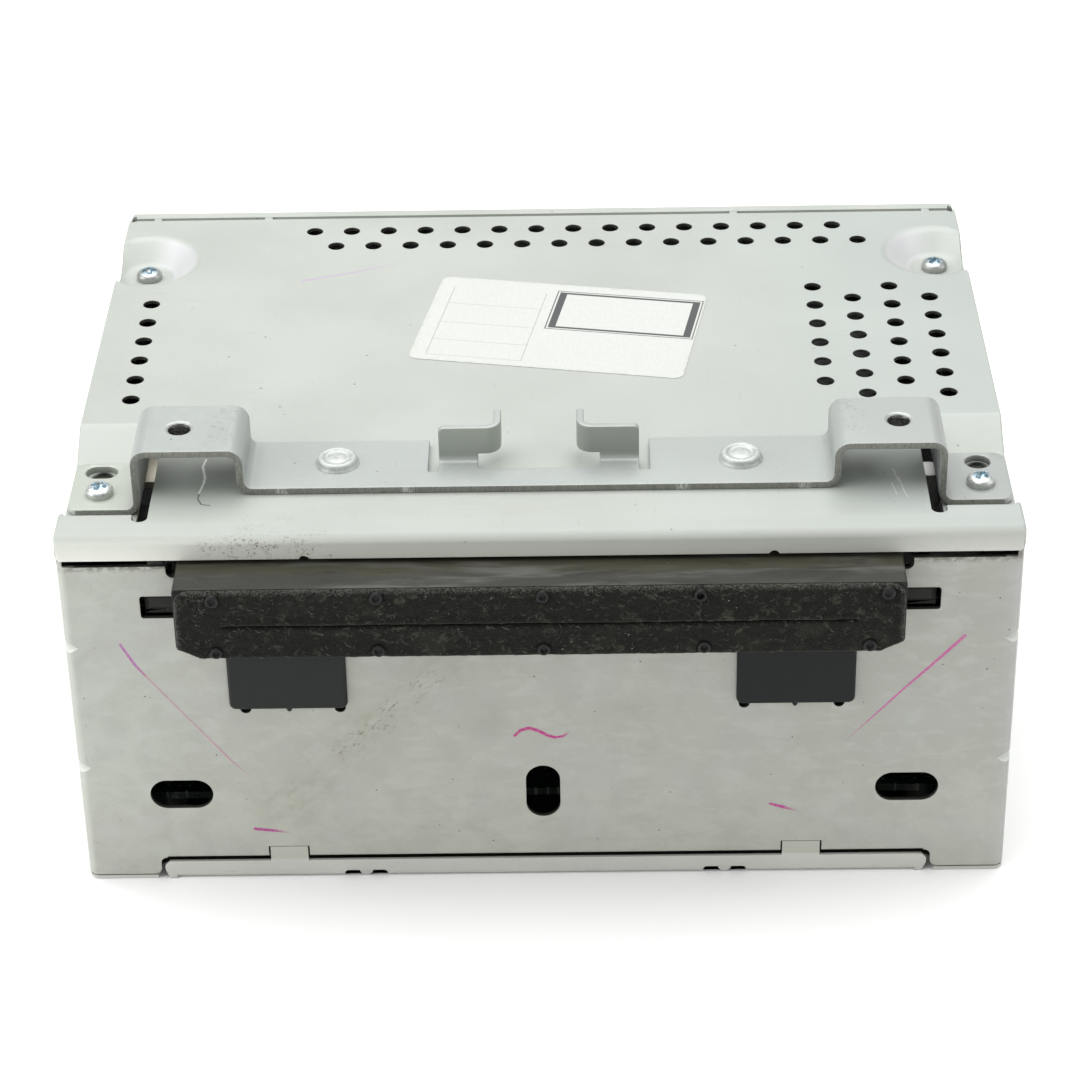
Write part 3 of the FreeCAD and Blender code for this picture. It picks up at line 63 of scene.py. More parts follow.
# ------------------------------------------------------------------ material kit
class Mat:
    """Principled material with object coordinates in millimetres from the front face of the case."""

    def __init__(self, name, metallic=0.0, ior=None, spec=None, coat=0.0, coat_rough=0.1, sheen=0.0, aniso=0.0):
        self.m = bpy.data.materials.new(name)
        self.m.use_nodes = True
        self.t = self.m.node_tree
        self.t.nodes.clear()
        self.out = self.t.nodes.new("ShaderNodeOutputMaterial")
        self.b = self.t.nodes.new("ShaderNodeBsdfPrincipled")
        self.t.links.new(self.b.outputs[0], self.out.inputs[0])
        self.b.inputs["Metallic"].default_value = metallic
        if ior:
            self.b.inputs["IOR"].default_value = ior
        if spec is not None:
            self.b.inputs["Specular IOR Level"].default_value = spec
        if coat:
            self.b.inputs["Coat Weight"].default_value = coat
            self.b.inputs["Coat Roughness"].default_value = coat_rough
        if sheen:
            self.b.inputs["Sheen Weight"].default_value = sheen
            self.b.inputs["Sheen Roughness"].default_value = 0.5
        if aniso:
            self.b.inputs["Anisotropic"].default_value = aniso
        tc = self.t.nodes.new("ShaderNodeTexCoord")
        sc = self.vm("MULTIPLY", tc.outputs["Object"], (1000, 1000, 1000))
        self.pos = self.vm("ADD", sc, (0, YC, ZB))
        sp = self.t.nodes.new("ShaderNodeSeparateXYZ")
        self.t.links.new(self.pos, sp.inputs[0])
        self.x, self.y, self.z = sp.outputs
        self._n = None

    def _in(self, sock, v):
        if isinstance(v, bpy.types.NodeSocket):
            self.t.links.new(v, sock)
        else:
            try:
                sock.default_value = v
            except (TypeError, ValueError):
                sock.default_value = (v, v, v)

    def vm(self, op, a, b=None, c=None):
        n = self.t.nodes.new("ShaderNodeVectorMath")
        n.operation = op
        self._in(n.inputs[0], a)
        if b is not None:
            if op == "SCALE":
                self._in(n.inputs[3], b)
            else:
                self._in(n.inputs[1], b)
        return n.outputs["Value"] if op in ("DOT_PRODUCT", "LENGTH", "DISTANCE") else n.outputs["Vector"]

    def ma(self, op, a, b=None, c=None, clamp=False):
        n = self.t.nodes.new("ShaderNodeMath")
        n.operation = op
        n.use_clamp = clamp
        self._in(n.inputs[0], a)
        if b is not None:
            self._in(n.inputs[1], b)
        if c is not None:
            self._in(n.inputs[2], c)
        return n.outputs[0]

    def normal(self):
        if self._n is None:
            g = self.t.nodes.new("ShaderNodeNewGeometry")
            s = self.t.nodes.new("ShaderNodeSeparateXYZ")
            self.t.links.new(g.outputs["True Normal"], s.inputs[0])
            self._n = s.outputs
        return self._n

    def noise(self, scale_mm, detail=3.0, rough=0.5, dist=0.0, stretch=(1, 1, 1), offset=(0, 0, 0), lac=2.0):
        v = self.vm("MULTIPLY", self.pos, tuple(s / scale_mm for s in stretch))
        v = self.vm("ADD", v, offset)
        n = self.t.nodes.new("ShaderNodeTexNoise")
        n.inputs["Scale"].default_value = 1.0
        n.inputs["Detail"].default_value = detail
        n.inputs["Roughness"].default_value = rough
        n.inputs["Distortion"].default_value = dist
        n.inputs["Lacunarity"].default_value = lac
        self.t.links.new(v, n.inputs["Vector"])
        return n.outputs["Fac"]

    def slant(self, scale_mm, detail=3.0, rough=0.5, along=0.2, offset=(0, 0, 0)):
        """Noise drawn out along the falling diagonal of the front face."""
        u = self.ma("MULTIPLY", self.ma("ADD", self.x, self.z), 0.7071 * along / scale_mm)
        v = self.ma("MULTIPLY", self.ma("SUBTRACT", self.x, self.z), 0.7071 / scale_mm)
        cb = self.t.nodes.new("ShaderNodeCombineXYZ")
        self.t.links.new(u, cb.inputs[0])
        self.t.links.new(v, cb.inputs[1])
        n = self.t.nodes.new("ShaderNodeTexNoise")
        n.inputs["Scale"].default_value = 1.0
        n.inputs["Detail"].default_value = detail
        n.inputs["Roughness"].default_value = rough
        n.inputs["Distortion"].default_value = 0.25
        self.t.links.new(self.vm("ADD", cb.outputs[0], offset), n.inputs["Vector"])
        return n.outputs["Fac"]

    def voro(self, scale_mm, stretch=(1, 1, 1), feature="F1", rand=1.0, out="Distance", offset=(0, 0, 0)):
        v = self.vm("MULTIPLY", self.pos, tuple(s / scale_mm for s in stretch))
        v = self.vm("ADD", v, offset)
        n = self.t.nodes.new("ShaderNodeTexVoronoi")
        n.feature = feature
        n.inputs["Scale"].default_value = 1.0
        n.inputs["Randomness"].default_value = rand
        self.t.links.new(v, n.inputs["Vector"])
        return n.outputs[out]

    def step(self, v, lo, hi):
        """0 below lo, 1 above hi, smooth between (lo may be larger than hi to reverse)."""
        n = self.t.nodes.new("ShaderNodeMapRange")
        n.interpolation_type = "SMOOTHSTEP"
        rev = lo > hi
        a, b = (hi, lo) if rev else (lo, hi)
        n.inputs["From Min"].default_value = a
        n.inputs["From Max"].default_value = b
        n.inputs["To Min"].default_value = 1.0 if rev else 0.0
        n.inputs["To Max"].default_value = 0.0 if rev else 1.0
        self._in(n.inputs["Value"], v)
        return n.outputs["Result"]

    def remap(self, v, a, b, c, d, clamp=True):
        n = self.t.nodes.new("ShaderNodeMapRange")
        n.clamp = clamp
        for k, q in zip(("From Min", "From Max", "To Min", "To Max"), (a, b, c, d)):
            n.inputs[k].default_value = q
        self._in(n.inputs["Value"], v)
        return n.outputs["Result"]

    def mix(self, fac, a, b, mode="MIX"):
        n = self.t.nodes.new("ShaderNodeMix")
        n.data_type = "RGBA"
        n.blend_type = mode
        n.clamp_factor = True
        self._in(n.inputs[0], fac)
        for s, v in ((n.inputs[6], a), (n.inputs[7], b)):
            if isinstance(v, bpy.types.NodeSocket):
                self.t.links.new(v, s)
            else:
                s.default_value = tuple(v) + ((1.0,) if len(v) == 3 else ())
        return n.outputs[2]

    def seg(self, a, b):
        """Distance in mm to the segment a-b, with the place along it (0 to 1)."""
        a, b = Vector(a), Vector(b)
        ab = b - a
        pa = self.vm("SUBTRACT", self.pos, tuple(a))
        h = self.ma("MULTIPLY", self.vm("DOT_PRODUCT", pa, tuple(ab)), 1.0 / ab.length_squared, clamp=True)
        q = self.t.nodes.new("ShaderNodeVectorMath")
        q.operation = "SCALE"
        q.inputs[0].default_value = tuple(ab)
        self.t.links.new(h, q.inputs[3])
        d = self.vm("LENGTH", self.vm("SUBTRACT", pa, q.outputs["Vector"]))
        return d, h

    def color(self, v):
        self._in(self.b.inputs["Base Color"], v if isinstance(v, bpy.types.NodeSocket) else tuple(v) + (1.0,))
        return self

    def rough(self, v):
        self._in(self.b.inputs["Roughness"], v)
        return self

    def metal(self, v):
        self._in(self.b.inputs["Metallic"], v)
        return self

    def bump(self, h, dist_mm, strength=1.0, prev=None):
        n = self.t.nodes.new("ShaderNodeBump")
        n.inputs["Strength"].default_value = strength
        n.inputs["Distance"].default_value = dist_mm * MM
        self.t.links.new(h, n.inputs["Height"])
        if prev is not None:
            self.t.links.new(prev, n.inputs["Normal"])
        self.t.links.new(n.outputs[0], self.b.inputs["Normal"])
        return n.outputs[0]


def stroke(m, c, pts, color, strength=0.9, fade=False, plane=1):
    """A pen or scratch line through (p, q, half width) points on a plane; plane is the axis left out."""
    best = None
    for i in range(len(pts) - 1):
        (a0, a1, wa), (b0, b1, wb) = pts[i], pts[i + 1]
        if plane == 1:
            pa, pb = (a0, 0, a1), (b0, 0, b1)
        else:
            pa, pb = (a0, a1, 79.0), (b0, b1, 79.0)
        d, h = m.seg(pa, pb)
        # signed margin: positive inside the stroke
        w = m.ma("ADD", wa, m.ma("MULTIPLY", h, wb - wa))
        k = m.step(m.ma("SUBTRACT", w, d), -0.07, 0.07)
        if fade and i == len(pts) - 2:
            k = m.ma("MULTIPLY", k, m.remap(h, 0.0, 1.0, 1.0, 0.0))
        best = k if best is None else m.ma("MAXIMUM", best, k)
    skip = m.remap(m.noise(0.5, 2, 0.5, offset=(3, 3, 3)), 0.32, 0.5, 0.55, 1.0)
    return m.mix(m.ma("MULTIPLY", m.ma("MULTIPLY", best, skip), strength), c, color)


def zinc(name, light=(0.403, 0.430, 0.397), dark=(0.375, 0.398, 0.367), metallic=0.18, r0=0.46, extra=None, scuff=0.5):
    m = Mat(name, metallic=metallic)
    big = m.noise(34, 3, 0.5)
    fine = m.noise(1.1, 4, 0.6)
    grain = m.noise(0.28, 2, 0.5)
    c = m.mix(m.step(big, 0.32, 0.7), dark, light)
    c = m.mix(m.ma("MULTIPLY", m.step(fine, 0.35, 0.75), 0.16), c, tuple(min(1.0, v * 1.1) for v in light))
    c = m.mix(m.ma("MULTIPLY", m.step(grain, 0.62, 0.8), 0.12), c, tuple(v * 0.66 for v in dark))
    # hairline scuffs in two directions, and scattered dark specks
    s1 = m.noise(1.0, 2, 0.5, 0.4, stretch=(0.09, 1.9, 1.9))
    s2 = m.noise(1.0, 2, 0.5, 0.4, stretch=(1.7, 0.11, 0.11), offset=(7, 3, 1))
    sc = m.ma("MAXIMUM", m.step(s1, 0.66, 0.72), m.step(s2, 0.69, 0.74))
    patch = m.step(m.noise(18, 2, 0.5, offset=(4, 9, 2)), 0.48, 0.68)
    sc = m.ma("MULTIPLY", sc, patch)
    c = m.mix(m.ma("MULTIPLY", sc, scuff * 0.8), c, tuple(v * 0.8 for v in dark))
    sp = m.voro(4.6)
    spm = m.ma("MULTIPLY", m.step(sp, 0.075, 0.035), m.step(m.noise(9, 2, 0.5, offset=(1, 5, 8)), 0.5, 0.62))
    c = m.mix(m.ma("MULTIPLY", spm, 0.75), c, (0.12, 0.115, 0.10))
    rough = m.ma("ADD", m.remap(fine, 0.3, 0.7, r0 - 0.05, r0 + 0.07), m.ma("MULTIPLY", sc, 0.12))
    rough = m.ma("ADD", rough, m.remap(big, 0.3, 0.7, -0.04, 0.05))
    if extra:
        c, rough = extra(m, c, rough)
    m.color(c).rough(rough)
    nb = m.bump(m.noise(0.35, 3, 0.55), 0.006, 0.5)
    nb = m.bump(m.noise(11, 2, 0.4), 0.05, 0.30, nb)
    m.bump(sc, 0.01, 0.5, nb)
    return m.m


# near-black painted shade for the sheared walls of holes and slots
CUT_WALL_SHADE = (0.035, 0.036, 0.030)
PEN = (0.46, 0.045, 0.26)


def front_extra(m, c, rough):
    n = m.normal()
    front = m.step(m.y, 1.2, 0.9)
    # painted shade: slightly darker and warmer towards the middle and the right, away from the light on the left
    c = m.mix(m.ma("MULTIPLY", m.ma("MULTIPLY", m.step(m.x, -92, -50), front), 0.56), c, (0.345, 0.348, 0.302))
    c = m.mix(m.ma("MULTIPLY", m.ma("MULTIPLY", m.step(m.x, 5, 88), front), 0.42), c, (0.325, 0.330, 0.300))
    # painted light: lighter towards the bottom of the face
    c = m.mix(m.ma("MULTIPLY", m.ma("MULTIPLY", m.step(m.z, 34, 6), front), 0.75), c, (0.448, 0.460, 0.398))
    # uneven dull bloom of the plating, and lighter wiped patches
    mo = m.step(m.noise(7.0, 5, 0.68, 0.6, offset=(6, 2, 8)), 0.40, 0.66)
    c = m.mix(m.ma("MULTIPLY", m.ma("MULTIPLY", mo, front), 0.42), c, (0.335, 0.340, 0.300))
    wp = m.step(m.noise(3.0, 5, 0.66, 0.4, stretch=(0.45, 1, 0.9), offset=(1, 4, 3)), 0.46, 0.66)
    c = m.mix(m.ma("MULTIPLY", m.ma("MULTIPLY", wp, front), 0.34), c, (0.475, 0.495, 0.455))
    bl = m.step(m.noise(16.0, 3, 0.6, offset=(9, 9, 3)), 0.46, 0.66)
    c = m.mix(m.ma("MULTIPLY", m.ma("MULTIPLY", bl, front), 0.22), c, (0.385, 0.385, 0.395))
    # painted highlight on the left bend, which faces the light
    c = m.mix(m.ma("MULTIPLY", m.step(m.x, -88.4, -90.0), 0.8), c, (0.49, 0.507, 0.459))
    # brown rubbed smear running down to the left: soft stain, with streaks along its own direction
    w1, f2 = m.noise(7.5, 3, 0.55, 0.4), m.noise(0.8, 3, 0.6)
    st = m.slant(1.9, 4, 0.68, along=0.42)
    sf = m.slant(0.62, 4, 0.70, along=0.42, offset=(3, 5, 1))
    fleck = m.step(m.noise(4.6, 2, 0.5, offset=(8, 3, 2)), 0.44, 0.58)
    d, h = m.seg((-19, 0, 50), (-50, 0, 17))
    soft = m.ma("MULTIPLY", m.step(d, 10.0, 1.0), m.remap(w1, 0.30, 0.65, 0.35, 1.0))
    k = m.ma("MULTIPLY", soft, m.remap(st, 0.38, 0.66, 0.15, 1.0))
    c = m.mix(m.ma("MULTIPLY", m.ma("MULTIPLY", k, front), 0.40), c, (0.240, 0.222, 0.152))
    d, h = m.seg((-21, 0, 48), (-38, 0, 30))
    k = m.ma("MULTIPLY", m.ma("MULTIPLY", m.ma("MULTIPLY", m.step(d, 4.4, 0.8), m.step(sf, 0.545, 0.62)), fleck), front)
    c = m.mix(m.ma("MULTIPLY", k, 0.62), c, (0.130, 0.112, 0.070))
    for sx0 in (-12.0, 16.0):
        d, h = m.seg((sx0 - 2, 0, 38.5), (sx0 + 2, 0, 37.5))
        k = m.ma("MULTIPLY", m.ma("MULTIPLY", m.step(d, 7.5, 0.5), m.remap(w1, 0.35, 0.6, 0.4, 1.0)), front)
        c = m.mix(m.ma("MULTIPLY", k, 0.26), c, (0.265, 0.252, 0.185))
    # lighter rub between the mouth and the middle slot
    d2, h2 = m.seg((-30, 0, 12), (42, 0, 9))
    k2 = m.ma("MULTIPLY", m.step(d2, 14, 1), m.step(m.noise(3.0, 3, 0.6, stretch=(0.3, 1, 1)), 0.45, 0.7))
    c = m.mix(m.ma("MULTIPLY", m.ma("MULTIPLY", k2, front), 0.22), c, (0.30, 0.28, 0.21))
    # small squarish mark near the left bend
    d3, h3 = m.seg((-88.2, 0, 61.9), (-87.2, 0, 61.9))
    c = m.mix(m.ma("MULTIPLY", m.ma("MULTIPLY", m.step(d3, 2.0, 1.6), front), 0.22), c, (0.36, 0.37, 0.34))
    # painted shade: the right bend is a cooler, darker grey, away from the light
    c = m.mix(m.ma("MULTIPLY", m.ma("MULTIPLY", m.step(m.x, 86.5, 90.0), m.step(m.y, 2.5, 1.0)), 0.35), c, (0.395, 0.39, 0.41))
    # darker brownish band just under the lip, broken up by noise
    k4 = m.ma("MULTIPLY", m.step(m.z, 70.9, 72.6), m.step(m.noise(1.0, 3, 0.6, stretch=(0.6, 1, 1)), 0.38, 0.58))
    c = m.mix(m.ma("MULTIPLY", m.ma("MULTIPLY", k4, front), 0.75), c, (0.115, 0.110, 0.075))
    # small black specks scattered on the face
    sp = m.ma("MULTIPLY", m.step(m.voro(3.0, offset=(5, 1, 2)), 0.075, 0.035), m.step(m.noise(7, 2, 0.5, offset=(2, 6, 1)), 0.45, 0.56))
    c = m.mix(m.ma("MULTIPLY", m.ma("MULTIPLY", sp, front), 0.85), c, (0.03, 0.03, 0.025))
    # pen marks, left without any meaning
    c = stroke(m, c, [(-79.6, 55.2, 0.26), (-77.2, 50.6, 0.30), (-75.4, 48.0, 0.18)], (0.34, 0.035, 0.30), 0.75)
    c = stroke(m, c, [(-75.6, 48.3, 0.20), (-68.5, 38.8, 0.16), (-66.5, 36.2, 0.12)], (0.40, 0.13, 0.22), 0.55)
    c = stroke(m, c, [(-66.5, 36.2, 0.13), (-60.4, 28.0, 0.16), (-56.1, 23.0, 0.10)], (0.42, 0.07, 0.24), 0.6, True)
    c = stroke(m, c, [(80.0, 55.0, 0.32), (75.7, 50.2, 0.30), (69.0, 43.0, 0.22), (62.8, 36.0, 0.13), (56.9, 29.5, 0.07)], PEN, 0.85, True)
    c = stroke(m, c, [(-5.4, 33.0, 0.26), (-4.2, 34.3, 0.34), (-2.6, 34.8, 0.36), (-0.9, 34.2, 0.36), (0.8, 33.1, 0.34), (2.4, 32.5, 0.32), (4.0, 32.8, 0.26), (5.5, 34.0, 0.14)], (0.40, 0.026, 0.19), 1.0, True)
    c = stroke(m, c, [(-56.7, 11.3, 0.36), (-52.8, 10.8, 0.30), (-49.6, 10.2, 0.12)], (0.36, 0.022, 0.22), 0.97, True)
    c = stroke(m, c, [(44.0, 16.1, 0.22), (46.5, 15.3, 0.40), (50.2, 14.0, 0.10)], (0.42, 0.03, 0.24), 0.95, True)
    # the inside of the case gets no light
    inner = m.ma("MULTIPLY", m.step(m.ma("ABSOLUTE", m.x), 89.9, 89.6), m.step(m.y, 0.45, 0.75))
    nick = m.ma("MINIMUM", m.ma("ABSOLUTE", m.ma("SUBTRACT", m.z, 54.45)), m.ma("ABSOLUTE", m.ma("SUBTRACT", m.z, 26.5)))
    nick = m.ma("MULTIPLY", m.ma("MULTIPLY", m.step(nick, 3.3, 3.1), m.step(m.ma("ABSOLUTE", m.x), 85.9, 86.1)), m.step(m.y, 4.1, 3.9))
    inner = m.ma("MULTIPLY", inner, m.ma("SUBTRACT", 1.0, m.ma("MULTIPLY", nick, m.step(m.ma("ABSOLUTE", n[2]), 0.15, 0.30))))
    c = m.mix(m.ma("MULTIPLY", inner, 0.93), c, (0.030, 0.031, 0.027))
    # painted shade, near black, on the dirty sheared walls of the slots and windows
    wall = m.ma("MULTIPLY", m.step(m.ma("ABSOLUTE", n[1]), 0.62, 0.35), m.step(m.ma("ABSOLUTE", m.x), 87.2, 86.6))
    wall = m.ma("MULTIPLY", m.ma("MULTIPLY", wall, m.step(m.y, 1.25, 1.05)), m.step(m.z, 5.0, 5.5))
    c = m.mix(m.ma("MULTIPLY", wall, 0.97), c, CUT_WALL_SHADE)
    # painted highlight on the upward facet of each small side notch, painted shade on its downward facet
    c = m.mix(m.ma("MULTIPLY", m.ma("MULTIPLY", nick, m.step(n[2], 0.18, 0.34)), 0.85), c, (0.66, 0.68, 0.64))
    c = m.mix(m.ma("MULTIPLY", m.ma("MULTIPLY", nick, m.step(n[2], -0.18, -0.34)), 0.85), c, (0.085, 0.085, 0.075))
    return c, rough


def lip_extra(m, c, rough):
    n = m.normal()
    # specks of old foam on the front lip, rubs beneath the bracket
    d, h = m.seg((-60, 0, 75.9), (-41, 0, 76.6))
    clump = m.step(m.noise(4.2, 2, 0.5, offset=(2, 7, 5)), 0.46, 0.56)
    k = m.ma("MULTIPLY", m.ma("MULTIPLY", m.step(d, 5.0, 1.2), clump), m.step(m.noise(0.50, 4, 0.75, 0.9), 0.555, 0.60))
    front = m.step(m.y, 3.0, 0.5)
    d8, h8 = m.seg((-54, 5.0, 79), (-36, 6.5, 79))
    kt = m.ma("MULTIPLY", m.ma("MULTIPLY", m.step(d8, 5.5, 1.0), clump), m.step(m.noise(0.62, 4, 0.75, 0.9, offset=(3, 1, 1)), 0.57, 0.62))
    k5 = m.ma("MULTIPLY", m.step(m.noise(6, 3, 0.6, stretch=(0.5, 1, 1), offset=(3, 1, 4)), 0.56, 0.72), m.step(m.z, 76.0, 74.0))
    c = m.mix(m.ma("MULTIPLY", m.ma("MULTIPLY", k5, front), 0.35), c, (0.36, 0.31, 0.21))
    # the lip is matt; painted light, beige, towards its lower edge to even out its shading, painted shade darkening it
    # a little to the right, painted light to the left
    lf = m.ma("MULTIPLY", m.step(m.y, 2.5, 0.2), m.step(m.z, 78.9, 77.6))
    c = m.mix(m.ma("MULTIPLY", lf, m.remap(m.z, 77.5, 74.2, 0.35, 1.0)), c, (0.70, 0.715, 0.645))
    c = m.mix(m.ma("MULTIPLY", m.ma("MULTIPLY", m.step(m.x, -20, 90), lf), 0.55), c, (0.44, 0.45, 0.42))
    c = m.mix(m.ma("MULTIPLY", m.ma("MULTIPLY", m.step(m.x, -10, -85), lf), 0.6), c, (0.76, 0.775, 0.71))
    c = m.mix(m.ma("MULTIPLY", m.ma("MULTIPLY", k, front), 0.85), c, (0.10, 0.085, 0.055))
    c = m.mix(m.ma("MULTIPLY", kt, 0.6), c, (0.17, 0.165, 0.14))
    rough = m.ma("ADD", rough, m.ma("MULTIPLY", m.step(m.y, 6.0, 3.0), 0.22))
    # warm rub in front of the strap
    d6, h6 = m.seg((-70, 9, 79), (70, 9, 79))
    k6 = m.ma("MULTIPLY", m.step(d6, 7, 1), m.step(m.noise(7, 3, 0.6, stretch=(0.4, 1, 1)), 0.45, 0.7))
    c = m.mix(m.ma("MULTIPLY", k6, 0.16), c, (0.36, 0.34, 0.27))
    # shade of dirt in the corners beside the bracket
    d7, h7 = m.seg((-76, 17, 76), (-79, 30, 76))
    k7 = m.ma("MULTIPLY", m.step(d7, 6, 0.5), m.step(m.noise(2.0, 3, 0.6), 0.42, 0.65))
    c = m.mix(m.ma("MULTIPLY", k7, 0.25), c, (0.33, 0.30, 0.22))
    # scratches where a screwdriver slipped beside the hats
    c = stroke(m, c, [(-64.1, 28.0, 0.18), (-64.5, 25.4, 0.22), (-63.7, 21.2, 0.26), (-63.8, 19.0, 0.24), (-64.4, 15.4, 0.12)], (0.95, 0.96, 0.94), 1.0, plane=2)
    c = stroke(m, c, [(-64.3, 15.4, 0.12), (-64.4, 13.5, 0.15), (-63.6, 11.6, 0.15), (-61.9, 11.1, 0.14)], (0.06, 0.06, 0.05), 0.9, plane=2)
    for dx, y0, y1, w in ((0.0, 21.5, 17.0, 0.2), (0.8, 18.5, 13.2, 0.16), (-0.7, 16.5, 12.2, 0.14), (1.3, 14.0, 11.0, 0.12)):
        c = stroke(m, c, [(67.3 + dx, y0, w), (68.0 + dx, y1, w * 0.7)], (0.80, 0.81, 0.79), 0.9, plane=2)
    # painted shade: the top darker towards the right, away from the light on the left
    c = m.mix(m.ma("MULTIPLY", m.ma("MULTIPLY", m.step(m.x, 10, 85), m.step(m.z, 78.5, 78.9)), 0.5), c, (0.362, 0.392, 0.378))
    # painted light on the inner side of the wall of each dish round the rear cover screws
    for sx in (-1, 1):
        q = m.vm("DISTANCE", m.vm("MULTIPLY", m.pos, (1, 1, 0)), (sx * 84.0, 111.5, 0))
        wl = m.ma("MULTIPLY", m.ma("MULTIPLY", m.step(q, 11.2, 9.6), m.step(q, 4.4, 5.8)), m.step(n[2], 0.995, 0.93))
        lit_dish_wall = m.ma("MULTIPLY", wl, m.step(m.ma("MULTIPLY", m.x, sx), 85.0, 78.5))
        c = m.mix(m.ma("MULTIPLY", lit_dish_wall, 0.9), c, (0.525, 0.525, 0.535))
    # faint pen line across the top, crossing beneath the label
    c = stroke(m, c, [(-50.2, 101.3, 0.34), (-39.0, 105.0, 0.26), (-21.6, 112.4, 0.14)], (0.42, 0.26, 0.46), 0.6, True, plane=2)
    # painted shade on the walls of the vent holes
    wall = m.ma("MULTIPLY", m.step(m.ma("ABSOLUTE", n[2]), 0.45, 0.2), m.step(m.ma("ABSOLUTE", m.x), 88.0, 87.0))
    wall = m.ma("MULTIPLY", m.ma("MULTIPLY", wall, m.step(m.y, 30, 31)), m.step(m.y, 129.0, 128.5))
    c = m.mix(m.ma("MULTIPLY", wall, 0.95), c, CUT_WALL_SHADE)
    # painted shade on the faces turned downwards behind the front edge
    c = m.mix(m.ma("MULTIPLY", m.ma("MULTIPLY", m.step(n[2], -0.3, -0.6), m.step(m.y, 2.0, 3.0)), 0.9), c, (0.05, 0.052, 0.046))
    return c, rough


def bottom_extra(m, c, rough):
    n = m.normal()
    # the two locating tabs stand in the front face and share its tone
    tab = m.ma("MULTIPLY", m.step(m.z, 3.6, 4.2), m.step(m.y, 1.0, 0.6))
    c = m.mix(m.ma("MULTIPLY", tab, 0.9), c, (0.445, 0.455, 0.395))
    # painted shade on the inside of the bottom cover
    inner = m.ma("MULTIPLY", m.step(m.y, 0.6, 0.85), m.step(m.z, 0.02, 0.08))
    c = m.mix(m.ma("MULTIPLY", inner, 0.9), c, (0.045, 0.046, 0.040))
    # scuffs from standing on benches
    sc = m.ma("MULTIPLY", m.step(n[2], -0.7, -0.9), m.step(m.noise(1.0, 3, 0.6, 0.3, stretch=(0.16, 0.9, 1)), 0.56, 0.64))
    c = m.mix(m.ma("MULTIPLY", sc, 0.35), c, (0.30, 0.30, 0.27))
    return c, rough


def strap_extra(m, c, rough):
    n = m.normal()
    # painted light: the outer wings lightened to the cover's pale tone, fully on the left and hardly on the right
    wing = m.ma("MULTIPLY", m.step(m.ma("ABSOLUTE", m.x), 76.5, 79.5), m.step(m.z, 78.5, 77.9))
    c = m.mix(m.ma("MULTIPLY", wing, m.remap(m.x, -80, 80, 0.85, 0.0)), c, (0.430, 0.455, 0.398))
    # painted shade on the right end of the strap, away from the light
    c = m.mix(m.ma("MULTIPLY", m.step(m.x, 48, 78), 0.55), c, (0.318, 0.330, 0.322))
    # sheared front and rear faces: darker, drawn along the strip, with bands of shear marks
    sh = m.step(m.ma("ABSOLUTE", n[1]), 0.8, 0.95)
    edge = m.ma("MAXIMUM", m.step(m.y, 14.95, 14.8), m.step(m.y, 31.9, 32.0))
    k = m.ma("MULTIPLY", sh, edge)
    streak = m.noise(0.5, 3, 0.6, stretch=(3.0, 1.0, 0.7))
    ec = m.mix(m.step(streak, 0.3, 0.7), (0.125, 0.128, 0.110), (0.245, 0.25, 0.222))
    for x0 in (-48.5, -24.8, 27.0, 50.2):
        band = m.step(m.ma("ABSOLUTE", m.ma("SUBTRACT", m.x, x0)), 1.5, 0.7)
        tick = m.step(m.noise(0.35, 2, 0.5, stretch=(1.6, 1, 0.3), offset=(x0, 0, 0)), 0.42, 0.55)
        ec = m.mix(m.ma("MULTIPLY", band, m.ma("MULTIPLY", tick, 0.8)), ec, (0.55, 0.56, 0.53))
    c = m.mix(m.ma("MULTIPLY", k, 0.92), c, ec)
    rough = m.ma("ADD", rough, m.ma("MULTIPLY", k, 0.12))
    # painted shade on the faces of the two upright fingers, deeper on the right
    finger_shade = m.ma("MULTIPLY", m.step(m.ma("ABSOLUTE", m.x), 24, 23), m.step(m.z, 80.8, 82.4))
    finger_shade = m.ma("MULTIPLY", finger_shade, m.step(m.ma("ABSOLUTE", n[2]), 0.75, 0.45))
    c = m.mix(m.ma("MULTIPLY", finger_shade, 0.9), c, m.mix(m.step(m.x, -5, 5), (0.315, 0.345, 0.308), (0.268, 0.292, 0.262)))
    # rubbed patches on the hats, burnished rings round the tapped holes
    for sx in (-1, 1):
        d, h = m.seg((sx * 60.5, 21, 88.7), (sx * 59, 30, 88.7))
        kk = m.ma("MULTIPLY", m.step(d, 4.0, 0.5), m.step(m.noise(0.9, 3, 0.65, 0.4), 0.54, 0.62))
        c = m.mix(m.ma("MULTIPLY", kk, 0.5), c, (0.24, 0.23, 0.20))
        v = m.vm("MULTIPLY", m.pos, (1, 1, 0))
        r = m.vm("DISTANCE", v, (sx * 68.2, 23.5, 0))
        ring = m.ma("MULTIPLY", m.step(r, 2.95, 2.75), m.step(m.z, 84.4, 84.9))
        c = m.mix(m.ma("MULTIPLY", ring, 0.6), c, (0.42, 0.44, 0.42))
        rough = m.ma("SUBTRACT", rough, m.ma("MULTIPLY", ring, 0.16))
    return c, rough


M = {}
M["cover"] = zinc("zinc_cover", extra=lip_extra)
M["front"] = zinc("zinc_chassis", light=(0.447, 0.466, 0.418), dark=(0.405, 0.424, 0.376), extra=front_extra, scuff=0.7)
M["bottom"] = zinc("zinc_bottom", light=(0.56, 0.57, 0.53), dark=(0.50, 0.51, 0.47), extra=bottom_extra)
M["rear"] = zinc("zinc_rear", light=(0.42, 0.44, 0.405))
M["strap"] = zinc("zinc_bracket", light=(0.375, 0.40, 0.382), dark=(0.345, 0.368, 0.35), metallic=0.28, r0=0.42, extra=strap_extra, scuff=0.35)


